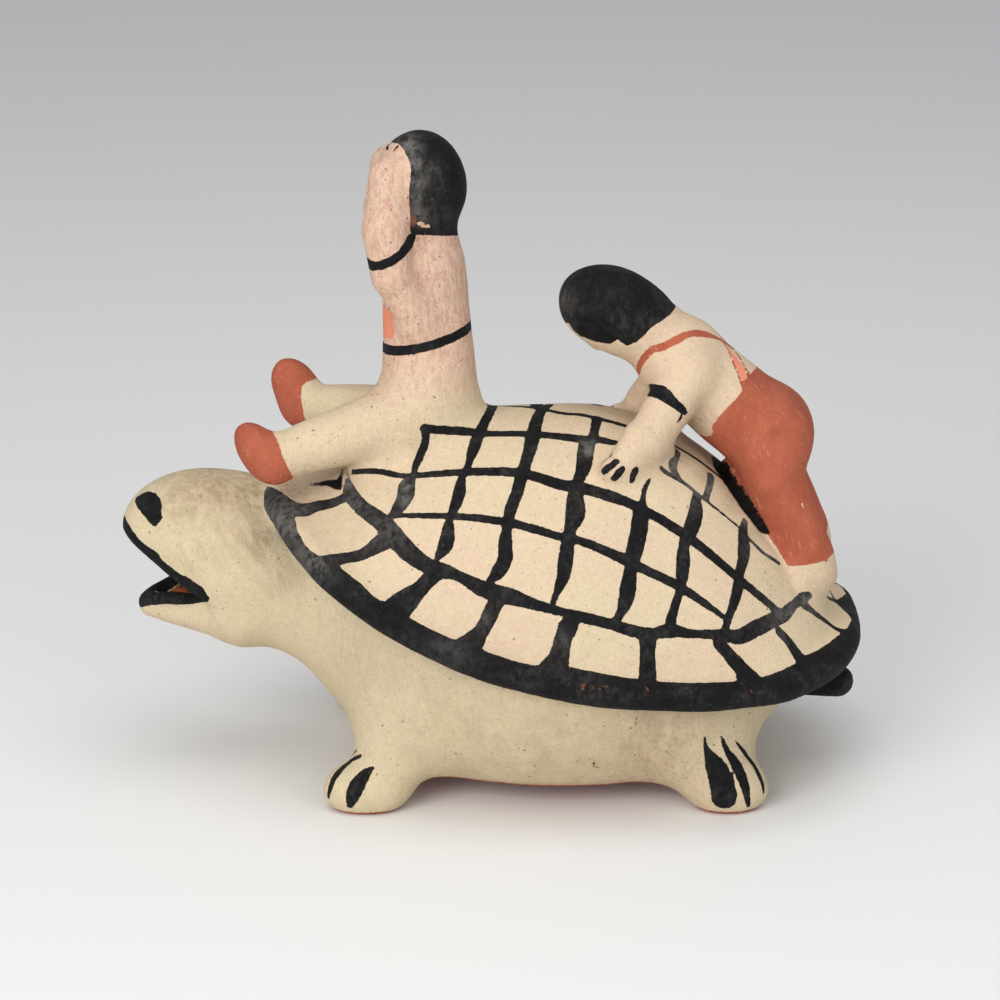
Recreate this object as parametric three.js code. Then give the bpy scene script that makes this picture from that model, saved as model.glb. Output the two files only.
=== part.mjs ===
// A turtle of fired clay that carries two children on its back, a hand-built storyteller figure.
// The whole figure is one piece: rolls and balls of clay pressed together wet and smoothed over at every join.
// Millimetres. +X runs from head to tail, +Z is up, and the side seen first is -Y.
import * as THREE from "three";

// Shell
const shellLength = 134;
const shellWidth = 98;
const shellHeight = 87.3;
const crownToFrontLip = 69.6;
const crownX = 20;
const planSquareness = 2.55;
const lipRadius = 3.2;
const lipHeightFront = 67.1;
const lipHeightSide = 32.3;
const lipHeightTailRise = 3.6;
const lipSweepLength = 120.6;
const lipSweepPower = 2.8;
const lipFootRatio = 0.965;
const sideSteepPower = 0.74;
const endSteepPower = 1.0;

// Belly of the turtle
const bellyLength = 116;
const bellyWidth = 94;
const bellyDepth = 42;
const bellyX = 16;
const bellyZ = 33.5;
const bellyClearance = 3.6;

// Neck and head
const headLength = 40.3;
const headWidth = 27;
const headHeight = 30.4;
const headBeyondShell = 18;
const headZ = 56.4;
const headTilt = -8;
const neckRadius = 17.9;
const neckRootRadius = 19;
const neckFlatness = 0.88;
const neckZ = 48.3;

// Open mouth
const mouthAngle = 35;
const mouthCornerX = -64.5;
const mouthCornerZ = 41.4;
const jawLength = 21;
const jawZ = 38.8;
const jawRootRadius = 9.6;
const jawTipRadius = 2.8;
const jawFlatness = 1.5;
const lipRollRadius = 1.65;
const mouthHollowRadius = 5.2;

// Legs, feet and tail of the turtle
const footSpread = 67;
const frontFootX = -29.8;
const frontFootLength = 19;
const frontLegRadius = 10;
const hindFootX = 55.5;
const hindFootLength = 18;
const hindLegRadius = 11;
const footHeight = 6.6;
const soleCut = 1.9;
const tailBeyondShell = 1.9;
const tailRadius = 3.8;
const tailZ = 20.2;

// The child that sits behind the turtle's head
const sitterX = -14.5;
const sitterHeight = 71.7;
const sitterHipRadius = 11.2;
const sitterShoulderRadius = 9.7;
const sitterHeadWidth = 21.6;
const sitterHeadHeight = 26;
const sitterLegReach = 39;
const sitterLegSpread = 36.5;
const sitterShinRadius = 5.4;
const sitterShoeLength = 16.6;
const sitterArmRadius = 5;

// The child that climbs up the shell from behind
const climberHeadRatio = 0.1304;
const climberNapeRatio = 0.3665;
const climberHipRatio = 0.6988;
const climberHeadLift = 24.54;
const climberNapeLift = 16.35;
const climberHipLift = 12.88;
const climberAnkleLift = 2.62;
const climberHeadLength = 26.8;
const climberHeadHeight = 19.8;
const climberHeadTilt = -23;
const climberChestRadius = 9.9;
const climberHipRadius = 10.8;
const climberLegRadius = 6.9;
const climberFootSpread = 23;
const climberArmRadius = 6.4;
const climberHandSpread = 43;

// Fineness of the finished surface
const clayGrain = 2.1;
const mostTriangles = 9600;

const rad = THREE.MathUtils.degToRad;
const clamp = THREE.MathUtils.clamp;

// Two forms joined by a thumbed fillet about k wide.
function join(a, b, k) {
  const h = Math.max(k - Math.abs(a - b), 0) / k;
  return Math.min(a, b) - (h * h * k) / 4;
}

// Form a kept only where it is inside form b, with the edge softened.
function trim(a, b, k) {
  return -join(-a, -b, k);
}

// A ball of clay pressed to three half-widths, leaning by tilt degrees in the XZ plane.
function ball(centre, half, tilt = 0) {
  const c = Math.cos(rad(tilt));
  const s = Math.sin(rad(tilt));
  const [rx, ry, rz] = half;
  return (px, py, pz) => {
    const qx = px - centre[0];
    const qy = py - centre[1];
    const qz = pz - centre[2];
    const x = qx * c + qz * s;
    const z = qz * c - qx * s;
    const k0 = Math.hypot(x / rx, qy / ry, z / rz);
    const k1 = Math.hypot(x / (rx * rx), qy / (ry * ry), z / (rz * rz));
    return (k0 * (k0 - 1)) / Math.max(k1, 1e-9);
  };
}

// A tapering roll of clay from a to b; wide stretches its section along side.
function roll(a, b, ra, rb, wide = 1, side = [0, 1, 0]) {
  const [abx, aby, abz] = [b[0] - a[0], b[1] - a[1], b[2] - a[2]];
  const ab2 = abx * abx + aby * aby + abz * abz;
  const n = Math.hypot(...side);
  const [sx, sy, sz] = side.map((v) => v / n);
  const pinch = 1 - 1 / wide;
  return (px, py, pz) => {
    let x = px - a[0];
    let y = py - a[1];
    let z = pz - a[2];
    const h = clamp((x * abx + y * aby + z * abz) / ab2, 0, 1);
    x -= h * abx;
    y -= h * aby;
    z -= h * abz;
    const across = (x * sx + y * sy + z * sz) * pinch;
    return Math.hypot(x - across * sx, y - across * sy, z - across * sz) - (ra + (rb - ra) * h);
  };
}

// How far the shell reaches from its crown to the tail, and where its lip ends there.
const crownToRear = shellLength - crownToFrontLip;
const rear = crownX + crownToRear;

// Height of the shell's lip over the ground at x: high behind the neck, low along the flank.
function lipHeight(x) {
  const sweepStart = crownX - crownToFrontLip + lipSweepLength;
  const fore = clamp((sweepStart - x) / lipSweepLength, 0, 1);
  const aft = clamp((x - rear + 18.4) / 22, 0, 1);
  const rise = (lipHeightFront - lipHeightSide) * fore ** lipSweepPower;
  return lipHeightSide + rise + lipHeightTailRise * aft * aft;
}

// The shell in plan: 0 at the crown, 1 along the lip, and how fast that number grows per millimetre.
function shellPlan(x, y) {
  const dx = x - crownX;
  const reach = dx < 0 ? crownToFrontLip : crownToRear;
  const half = shellWidth / 2;
  const u = Math.abs(dx) / reach + 1e-6;
  const v = Math.abs(y) / half + 1e-6;
  const rho = (u ** planSquareness + v ** planSquareness) ** (1 / planSquareness);
  const gx = (u / rho) ** (planSquareness - 1) / reach;
  const gy = (v / rho) ** (planSquareness - 1) / half;
  return [rho, Math.hypot(gx, gy)];
}

// Top of the shell over the ground at (x, y), its slope there and the height of the lip beside it.
function shellTop(x, y) {
  const [rho, grad] = shellPlan(x, y);
  const dx = x - crownX;
  const endwise = (dx * dx) / (dx * dx + y * y + 1e-9);
  const steep = sideSteepPower + (endSteepPower - sideSteepPower) * endwise;
  const lip = lipHeight(crownX + dx / rho);
  const inner = clamp(1 - (lipFootRatio * rho) ** 2, 1e-4, 1);
  const foot = (1 - lipFootRatio ** 2) ** steep;
  const g = (inner ** steep - foot) / (1 - foot);
  const fall = (2 * steep * lipFootRatio ** 2 * rho * inner ** (steep - 1) * grad) / (1 - foot);
  return [lip + (shellHeight - lip) * g, Math.min((shellHeight - lip) * fall, 5), lip];
}

// The domed shell with its rounded lip.
function shell(x, y, z) {
  const [rho, grad] = shellPlan(x, y);
  const out = (rho - 1) / grad;
  const [top, slope, lip] = shellTop(x, y);
  const over = (z - top) / Math.hypot(1, slope);
  const under = lip - 1.2 - 14 * clamp(1 - rho, 0, 1) - z;
  const lid = trim(trim(over, under, 2), out, 1.5);
  const bead = Math.hypot(out, z - lip) - lipRadius;
  return join(lid, bead, 4);
}

// Forms of the turtle below the shell.
const headX = crownX - crownToFrontLip - headBeyondShell;
const jawRootX = mouthCornerX + 4.5;
const jawTipX = jawRootX - jawLength;
const legY = footSpread / 2;
const belly = ball([bellyX, 0, bellyZ], [bellyLength / 2, bellyWidth / 2, bellyDepth]);
const neck = roll([headX + 37.6, 0, neckZ - 6.3], [headX + 9.6, 0, neckZ], neckRootRadius, neckRadius, neckFlatness);
const head = ball([headX, 0, headZ], [headLength / 2, headWidth / 2, headHeight / 2], headTilt);
const jaw = roll([jawRootX, 0, jawZ], [jawTipX, 0, jawZ], jawRootRadius, jawTipRadius, jawFlatness);
const hollow = roll(
  [mouthCornerX - 1.5, 0, mouthCornerZ + 5.6],
  [jawTipX + 4, 0, mouthCornerZ + 2],
  mouthHollowRadius,
  mouthHollowRadius * 0.63,
  1.25,
);
const tailTipX = rear + tailBeyondShell - tailRadius;
const tail = roll([rear - 26.4, 0, tailZ + 1.8], [tailTipX, -3, tailZ], tailRadius + 1.4, tailRadius);

// The two rolls that edge the lower jaw, each from the corner of the mouth to the tip.
const lowerLips = [];
for (const side of [-1, 1]) {
  const corner = [jawRootX - 4, side * 9.6, jawZ + 3.8];
  const middle = [jawRootX - 15, side * 6.6, jawZ + 4];
  const nearTip = [jawTipX + 0.9, side * 3.4, jawZ + 1.9];
  const tip = [jawTipX - 0.9, 0, jawZ + 0.9];
  lowerLips.push(roll(corner, middle, lipRollRadius, lipRollRadius));
  lowerLips.push(roll(middle, nearTip, lipRollRadius, lipRollRadius));
  lowerLips.push(roll(nearTip, tip, lipRollRadius, lipRollRadius));
}

// Legs that run down and outward into rounded feet, each a ball cut flat at the sole.
const legs = [];
for (const side of [-1, 1]) {
  const frontTop = [frontFootX + 9.8, side * (legY - 8.5), bellyZ - 11.5];
  const frontAnkle = [frontFootX + 4.8, side * (legY - 0.5), footHeight + 1.4];
  const frontSole = [frontFootX, side * legY, footHeight - soleCut];
  const hindTop = [hindFootX - 8.5, side * (legY - 9.5), bellyZ - 13.5];
  const hindAnkle = [hindFootX - 2.5, side * (legY - 2), footHeight + 1.4];
  const hindSole = [hindFootX, side * (legY - 1), footHeight - soleCut];
  legs.push([
    roll(frontTop, frontAnkle, frontLegRadius, frontLegRadius * 0.7),
    ball(frontSole, [frontFootLength / 2, 6.5, footHeight]),
  ]);
  legs.push([
    roll(hindTop, hindAnkle, hindLegRadius, hindLegRadius * 0.73),
    ball(hindSole, [hindFootLength / 2, 7, footHeight]),
  ]);
}

// Body, neck, gaping head, legs and tail as one form.
function turtle(x, y, z) {
  let d = join(neck(x, y, z), head(x, y, z), 12);
  d = join(d, trim(belly(x, y, z), bellyClearance - z, 5), 12);
  const qx = x - mouthCornerX;
  const qz = z - mouthCornerZ;
  const belowUpperLip = qx * Math.sin(rad(mouthAngle)) + qz * Math.cos(rad(mouthAngle));
  d = trim(d, -trim(belowUpperLip, qx, 4), 1.6);
  let lower = jaw(x, y, z);
  for (const lip of lowerLips) lower = join(lower, lip(x, y, z), 1.6);
  d = join(d, lower, 3);
  const gape = trim(trim(belowUpperLip + 0.5, 3.2 - qz, 1.5), qx + 1, 2);
  d = trim(d, -gape, 1.6);
  d = trim(d, -hollow(x, y, z), 1.6);
  for (const [leg, foot] of legs) d = join(d, join(leg(x, y, z), foot(x, y, z), 4), 12);
  d = trim(d, -z, 0.7);
  return join(d, tail(x, y, z), 5);
}

// Forms of the sitting child, placed from the point of the shell that it sits on.
const seatZ = shellTop(sitterX, 0)[0];
const sitterTop = seatZ + sitterHeight;
const sitterHeadZ = sitterTop - sitterHeadHeight / 2;
const shoulderZ = sitterHeadZ - 19;
const shoeX = sitterX - sitterLegReach;
const shoeY = sitterLegSpread / 2;
const cheek = sitterHeadWidth / 2;
const sitterTorso = roll([sitterX, 0, seatZ + 9.7], [sitterX - 1.3, 0, shoulderZ], sitterHipRadius, sitterShoulderRadius);
const sitterHead = ball([sitterX - 2.1, 0, sitterHeadZ], [cheek, cheek, sitterHeadHeight / 2]);
const sitterNose = ball([sitterX - 2.3 - cheek, 0, sitterHeadZ - 1.5], [1.8, 1.7, 2.6]);
const sitterLegs = [
  [
    roll([sitterX - 3.5, -6, seatZ + 5.7], [shoeX + 3.5, -shoeY + 2.2, seatZ - 2.2], 8.5, sitterShinRadius),
    ball([shoeX + 0.2, -shoeY + 1.2, seatZ - 0.5], [4.9, 5.2, sitterShoeLength / 2], 38),
  ],
  [
    roll([sitterX - 3.5, 5, seatZ + 0.9], [shoeX + 8.5, shoeY - 0.8, seatZ + 0.1], 8, sitterShinRadius),
    ball([shoeX + 6.9, shoeY + 1.2, seatZ + 3.7], [5.4, 4.8, sitterShoeLength / 2], 29),
  ],
];

// Both arms go up from the ribs, bend at the elbow and lay the hands along the face.
const sitterArms = [];
for (const side of [-1, 1]) {
  const rib = [sitterX - 2.5, side * 7.5, shoulderZ - 11];
  const elbowBack = [sitterX - 7.9, side * 9.5, shoulderZ - 0.5];
  const elbow = [sitterX - 8.5, side * 10, shoulderZ + 0.5];
  const wrist = [sitterX - 10, side * 9.6, shoulderZ + 11];
  const fingertips = [sitterX - 9.1, side * 6.6, shoulderZ + 22.5];
  sitterArms.push([
    roll(rib, elbowBack, sitterArmRadius, sitterArmRadius - 0.2),
    roll(elbow, wrist, sitterArmRadius - 0.1, sitterArmRadius + 0.2),
    roll(wrist, fingertips, sitterArmRadius + 0.2, sitterArmRadius - 0.4),
  ]);
}

function sitter(x, y, z) {
  let d = join(sitterTorso(x, y, z), sitterHead(x, y, z), 7);
  d = join(d, sitterNose(x, y, z), 1.5);
  for (const [leg, shoe] of sitterLegs) d = join(d, join(leg(x, y, z), shoe(x, y, z), 3), 7);
  for (const [upper, fore, hand] of sitterArms) {
    const arm = join(join(upper(x, y, z), fore(x, y, z), 1.2), hand(x, y, z), 1.2);
    d = join(d, arm, 2.6);
  }
  return d;
}

// Height of a point that stands off the shell's middle line by lift, measured square to the shell.
function overShell(x, lift) {
  const [top, slope] = shellTop(x, 0);
  return top + lift * Math.hypot(1, slope);
}

// Forms of the climbing child: its head, nape, hips and ankles each stand off the shell by their own lift.
const climberHeadX = crownX + climberHeadRatio * crownToRear;
const climberHeadZ = overShell(climberHeadX, climberHeadLift);
const napeX = crownX + climberNapeRatio * crownToRear;
const napeZ = overShell(napeX, climberNapeLift);
const climberHipX = crownX + climberHipRatio * crownToRear;
const climberHipZ = overShell(climberHipX, climberHipLift);
const hipBack = [climberHipX, 0, climberHipZ];
const climberChest = roll([napeX, 0, napeZ], hipBack, climberChestRadius, climberHipRadius, 1.08);
const headBack = [climberHeadX + 7.6, 0, climberHeadZ - 4.5];
const climberNeck = roll(headBack, [napeX + 0.4, 0, napeZ + 0.7], 7.5, climberChestRadius - 0.4);
const climberHead = ball(
  [climberHeadX, 0, climberHeadZ],
  [climberHeadLength / 2, 10.6, climberHeadHeight / 2],
  climberHeadTilt,
);
const climberNose = ball([climberHeadX - 3.9, 0, climberHeadZ - 7.9], [1.7, 1.5, 1.7], 10);
const climberLimbs = [];
for (const side of [-1, 1]) {
  const ahead = side < 0 ? 0 : 2.6;
  const footY = (side * climberFootSpread) / 2;
  const handY = (side * climberHandSpread) / 2;
  const hip = [climberHipX - 0.3, side * 5.5, climberHipZ + 1.4];
  const knee = [climberHipX + 0.6, side * 9, climberHipZ - 7.7];
  const ankleX = climberHipX + 8.1;
  const ankle = [ankleX, footY, overShell(ankleX, climberAnkleLift)];
  const handX = climberHeadX + 1.8 + ahead;
  const handOnShell = shellTop(handX, handY)[0];
  const wristUp = [climberHeadX + 8.1, side * 15.5, handOnShell + 7.1];
  const wristDown = [handX + 5.3, side * (climberHandSpread / 2 - 5.1), handOnShell + 6.3];
  climberLimbs.push({
    thigh: roll(hip, knee, climberLegRadius + 1.7, climberLegRadius),
    shin: roll(knee, ankle, climberLegRadius, climberLegRadius - 0.3),
    foot: ball([ankle[0] + 2.2, footY, ankle[2] - 4], [6.4, 6.5, 4.6], -35),
    arm: roll([napeX + 2.4, side * 8, napeZ - 1.3], wristUp, climberArmRadius, climberArmRadius - 1.4),
    hand: roll(wristDown, [handX, handY, handOnShell + 1.2], 4.6, 3.3, 1.8, [-0.7, side * 0.6, 0.25]),
  });
}

function climber(x, y, z) {
  let d = join(climberChest(x, y, z), climberNeck(x, y, z), 2.5);
  d = join(d, climberHead(x, y, z), 5);
  d = join(d, climberNose(x, y, z), 1.2);
  for (const { thigh, shin, foot, arm, hand } of climberLimbs) {
    const leg = join(join(thigh(x, y, z), shin(x, y, z), 1.2), foot(x, y, z), 4);
    d = join(d, leg, 5);
    d = join(d, join(arm(x, y, z), hand(x, y, z), 1.5), 3);
  }
  return d;
}

// Distance to the figure's skin, negative inside the clay.
// The seat of the sitting child is smoothed into the shell, while its shins only lie on it.
// The climbing child's feet are smoothed in too, its shins and hands only pressed down.
function figure(x, y, z) {
  const seatBlend = 2 + 8 * clamp((x - sitterX + 25.5) / 18, 0, 1);
  let d = join(shell(x, y, z), turtle(x, y, z), 2.5);
  d = join(d, sitter(x, y, z), seatBlend);
  return join(d, climber(x, y, z), 3.4 + 4 * clamp((x - climberHipX - 2) / 6, 0, 1));
}

// The skin as triangles: each grid cube is split into six tetrahedra that share its long diagonal.
// Blocks of cubes that lie well inside or well outside the clay are passed over.
function skin(field, low, high, step) {
  const block = 4;
  const n = [0, 1, 2].map((k) => Math.ceil((high[k] - low[k]) / step / block) * block + 1);
  const at = (i, j, k) => (k * n[1] + j) * n[0] + i;
  const value = new Float64Array(n[0] * n[1] * n[2]).fill(NaN);
  const reach = block * step * Math.sqrt(3) * 0.5;
  const cells = [];
  for (let k = 0; k < n[2] - 1; k += block)
    for (let j = 0; j < n[1] - 1; j += block)
      for (let i = 0; i < n[0] - 1; i += block) {
        const middle = [i, j, k].map((v, m) => low[m] + (v + block / 2) * step);
        if (Math.abs(field(...middle)) > reach * 1.6) continue;
        for (let c = 0; c <= block; c++)
          for (let b = 0; b <= block; b++)
            for (let a = 0; a <= block; a++) {
              const g = at(i + a, j + b, k + c);
              if (Number.isNaN(value[g])) {
                const v = field(low[0] + (i + a) * step, low[1] + (j + b) * step, low[2] + (k + c) * step);
                value[g] = Math.abs(v) < 1e-6 ? 1e-6 : v;
              }
              if (a < block && b < block && c < block) cells.push(g);
            }
      }
  const points = [];
  const faces = [];
  const known = new Map();
  const crossing = (a, b) => {
    const key = a < b ? a * value.length + b : b * value.length + a;
    let found = known.get(key);
    if (found === undefined) {
      const t = clamp(value[a] / (value[a] - value[b]), 0.04, 0.96);
      const end = [a, b].map((g) => [g % n[0], Math.floor(g / n[0]) % n[1], Math.floor(g / (n[0] * n[1]))]);
      found = points.push([0, 1, 2].map((m) => low[m] + (end[0][m] + (end[1][m] - end[0][m]) * t) * step)) - 1;
      known.set(key, found);
    }
    return found;
  };
  const routes = [
    [1, 3],
    [2, 6],
    [4, 5],
    [2, 3],
    [1, 5],
    [4, 6],
  ];
  const offset = (bits) => at(bits & 1, (bits >> 1) & 1, (bits >> 2) & 1);
  for (const base of cells)
    routes.forEach(([p, q], r) => {
      const corner = [base, base + offset(p), base + offset(q), base + offset(7)];
      let turned = r > 2;
      let inside = 0;
      for (let c = 0; c < 4; c++) {
        if (value[corner[c]] >= 0) continue;
        for (let m = c; m > inside; m--) {
          [corner[m], corner[m - 1]] = [corner[m - 1], corner[m]];
          turned = !turned;
        }
        inside++;
      }
      if (inside === 0 || inside === 4) return;
      const [a, b, c, d] = corner;
      const cut = [];
      if (inside === 1) cut.push([crossing(a, b), crossing(a, c), crossing(a, d)]);
      if (inside === 3) cut.push([crossing(a, d), crossing(b, d), crossing(c, d)]);
      if (inside === 2) {
        const [ac, ad, bd, bc] = [crossing(a, c), crossing(a, d), crossing(b, d), crossing(b, c)];
        cut.push([ac, ad, bd], [ac, bd, bc]);
      }
      for (const f of cut) faces.push(turned ? [f[0], f[2], f[1]] : f);
    });
  return { points, faces };
}

// The outer skin alone: what is joined edge to edge with the topmost point. A bubble shut in the clay is filled.
function outside({ points, faces }) {
  const touching = points.map(() => []);
  faces.forEach((f, i) => f.forEach((v) => touching[v].push(i)));
  const top = faces.flat().reduce((a, b) => (points[b][2] > points[a][2] ? b : a));
  const seen = new Set(touching[top]);
  for (const i of seen) for (const v of faces[i]) for (const near of touching[v]) seen.add(near);
  return { points, faces: faces.filter((_, i) => seen.has(i)) };
}

// Evens out the sizes of the triangles: each point moves halfway to the middle of its neighbours.
function even({ points, faces }) {
  const sum = points.map(() => [0, 0, 0, 0]);
  for (const f of faces)
    for (let m = 0; m < 3; m++) {
      const from = points[f[(m + 1) % 3]];
      const into = sum[f[m]];
      for (let k = 0; k < 3; k++) into[k] += from[k];
      into[3] += 1;
    }
  return { points: points.map((p, i) => p.map((v, k) => (v + sum[i][k] / sum[i][3]) / 2)), faces };
}

// Keeps the shape with fewer triangles: the edge whose loss changes the form least goes first.
function thin({ points, faces }, wanted) {
  const quadric = points.map(() => new Float64Array(10));
  const touching = points.map(() => []);
  const age = new Uint32Array(points.length);
  const plane = (f) => {
    const [a, b, c] = [points[f[0]], points[f[1]], points[f[2]]];
    const [ex, ey, ez] = [b[0] - a[0], b[1] - a[1], b[2] - a[2]];
    const [gx, gy, gz] = [c[0] - a[0], c[1] - a[1], c[2] - a[2]];
    const [x, y, z] = [ey * gz - ez * gy, ez * gx - ex * gz, ex * gy - ey * gx];
    const size = Math.hypot(x, y, z) || 1e-12;
    const longest = Math.max(ex * ex + ey * ey + ez * ez, gx * gx + gy * gy + gz * gz);
    return [x / size, y / size, z / size, -(x * a[0] + y * a[1] + z * a[2]) / size, size / 2, size / longest];
  };
  faces.forEach((f, i) => {
    const [a, b, c, d, area] = plane(f);
    const terms = [a * a, a * b, a * c, a * d, b * b, b * c, b * d, c * c, c * d, d * d];
    for (const v of f) {
      touching[v].push(i);
      for (let m = 0; m < 10; m++) quadric[v][m] += terms[m] * area;
    }
  });
  const q = new Float64Array(10);
  const cost = (x, y, z) =>
    q[0] * x * x + q[4] * y * y + q[7] * z * z + q[9] +
    2 * (q[1] * x * y + q[2] * x * z + q[5] * y * z + q[3] * x + q[6] * y + q[8] * z);
  const best = (u, v) => {
    for (let m = 0; m < 10; m++) q[m] = quadric[u][m] + quadric[v][m];
    const [a, b] = [points[u], points[v]];
    const middle = [(a[0] + b[0]) / 2, (a[1] + b[1]) / 2, (a[2] + b[2]) / 2];
    const length = Math.hypot(a[0] - b[0], a[1] - b[1], a[2] - b[2]);
    let to = middle;
    const c0 = q[4] * q[7] - q[5] * q[5];
    const c1 = q[2] * q[5] - q[1] * q[7];
    const c2 = q[1] * q[5] - q[2] * q[4];
    const det = q[0] * c0 + q[1] * c1 + q[2] * c2;
    if (det > 1e-4 * (q[0] + q[4] + q[7]) ** 3) {
      const x = -(c0 * q[3] + c1 * q[6] + c2 * q[8]) / det;
      const y = -(c1 * q[3] + (q[0] * q[7] - q[2] * q[2]) * q[6] + (q[1] * q[2] - q[0] * q[5]) * q[8]) / det;
      const z = -(c2 * q[3] + (q[1] * q[2] - q[0] * q[5]) * q[6] + (q[0] * q[4] - q[1] * q[1]) * q[8]) / det;
      if (Math.hypot(x - middle[0], y - middle[1], z - middle[2]) < length) to = [x, y, z];
    }
    return { u, v, to, price: cost(...to) + 2e-4 * length * length, age: age[u] + age[v] };
  };
  const heap = [];
  const push = (item) => {
    let i = heap.push(item) - 1;
    while (i > 0) {
      const up = (i - 1) >> 1;
      if (heap[up].price <= item.price) break;
      heap[i] = heap[up];
      i = up;
    }
    heap[i] = item;
  };
  const pop = () => {
    const top = heap[0];
    const item = heap.pop();
    if (!heap.length) return top;
    let i = 0;
    for (;;) {
      let s = 2 * i + 1;
      if (s >= heap.length) break;
      if (s + 1 < heap.length && heap[s + 1].price < heap[s].price) s++;
      if (heap[s].price >= item.price) break;
      heap[i] = heap[s];
      i = s;
    }
    heap[i] = item;
    return top;
  };
  const around = (v) => {
    const ring = new Set();
    for (const f of touching[v]) for (const w of faces[f]) if (w !== v) ring.add(w);
    return ring;
  };
  const sound = (v, gone, to) => {
    const old = points[v];
    for (const f of touching[v]) {
      if (faces[f].includes(gone)) continue;
      const before = plane(faces[f]);
      points[v] = to;
      const after = plane(faces[f]);
      points[v] = old;
      if (before[0] * after[0] + before[1] * after[1] + before[2] * after[2] < 0.2) return false;
      if (after[5] < 0.12 && after[5] < before[5]) return false;
    }
    return true;
  };
  let left = faces.length;
  for (const f of faces)
    for (let m = 0; m < 3; m++) if (f[m] < f[(m + 1) % 3]) push(best(f[m], f[(m + 1) % 3]));
  while (left > wanted && heap.length) {
    const { u, v, to, age: then } = pop();
    if (!touching[u].length || !touching[v].length || age[u] + age[v] !== then) continue;
    const ringU = around(u);
    if (!ringU.has(v)) continue;
    let shared = 0;
    for (const w of around(v)) if (ringU.has(w)) shared++;
    if (shared !== 2 || !sound(u, v, to) || !sound(v, u, to)) continue;
    for (const f of touching[v]) {
      if (faces[f].includes(u)) {
        for (const w of faces[f]) if (w !== v) touching[w] = touching[w].filter((g) => g !== f);
        faces[f] = null;
        left--;
      } else {
        faces[f] = faces[f].map((w) => (w === v ? u : w));
        touching[u].push(f);
      }
    }
    touching[v] = [];
    points[u] = to;
    for (let m = 0; m < 10; m++) quadric[u][m] += quadric[v][m];
    age[u] += age[v] + 1;
    for (const w of around(u)) push(best(u, w));
  }
  return { points, faces: faces.filter(Boolean) };
}

// Slides each point onto the skin, so that the triangles follow the clay. Points near the ground go flat onto it.
function settle(points, field, passes) {
  const e = 0.05;
  for (let pass = 0; pass < passes; pass++)
    for (const p of points) {
      const d = field(...p);
      const g = [
        (field(p[0] + e, p[1], p[2]) - field(p[0] - e, p[1], p[2])) / (2 * e),
        (field(p[0], p[1] + e, p[2]) - field(p[0], p[1] - e, p[2])) / (2 * e),
        (field(p[0], p[1], p[2] + e) - field(p[0], p[1], p[2] - e)) / (2 * e),
      ];
      const move = clamp(d / Math.max(g[0] ** 2 + g[1] ** 2 + g[2] ** 2, 0.25), -0.2, 0.2);
      for (let m = 0; m < 3; m++) p[m] -= move * g[m];
      if (Math.abs(p[2]) < 0.12) p[2] = 0;
    }
}

// The region that holds the whole figure, with room to spare all round.
const frontmost = Math.min(headX - headLength / 2, jawTipX - jawTipRadius, shoeX - sitterShoeLength / 2);
const rearmost = Math.max(rear + lipRadius, tailTipX + tailRadius, climberHipX + climberLegRadius + 14);
const widest = Math.max(shellWidth / 2 + lipRadius, legY + 7);
const highest = Math.max(sitterTop, climberHeadZ + climberHeadHeight);
const low = [frontmost - 5, -widest - 4, -3.13];
const high = [rearmost + 5, widest + 4, highest + 6];
const rough = even(even(outside(skin(figure, low, high, clayGrain))));
settle(rough.points, figure, 1);
const clay = thin(rough, mostTriangles);
const kept = [...new Set(clay.faces.flat())];
const renumber = new Map(kept.map((v, i) => [v, i]));
const surface = kept.map((v) => [...clay.points[v]]);
settle(surface, figure, 3);

const geometry = new THREE.BufferGeometry();
geometry.setAttribute("position", new THREE.Float32BufferAttribute(surface.flat(), 3));
geometry.setIndex(clay.faces.flat().map((v) => renumber.get(v)));
geometry.computeBoundingBox();
const box = geometry.boundingBox;
geometry.translate(-(box.min.x + box.max.x) / 2, -(box.min.y + box.max.y) / 2, -box.min.z);
geometry.computeVertexNormals();

const creamSlip = new THREE.MeshStandardMaterial({ color: 0xdcc8a4, roughness: 0.78, metalness: 0 });
const figureMesh = new THREE.Mesh(geometry, creamSlip);
figureMesh.name = "turtle_storyteller";

const storyteller = new THREE.Group();
storyteller.name = "storyteller";
storyteller.add(figureMesh);

export default storyteller;
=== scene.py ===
# %% [markdown]
# # A turtle of fired clay that carries two children
#
# The object is a hand-built storyteller figure: a turtle with its mouth open, one child seated behind its
# head and one that climbs up the shell. Rolls and balls of clay were pressed together wet, smoothed over,
# dipped in cream slip, painted with black and red earth colours and fired. It is one piece of clay, so it
# is one mesh here.
#
# The lesson starts from the imported solid, gives it a finer skin, and then paints it: cream slip, black
# lines, red earth, and at the end the wear and the painted shade.

# %% Load the frame
import math

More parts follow.
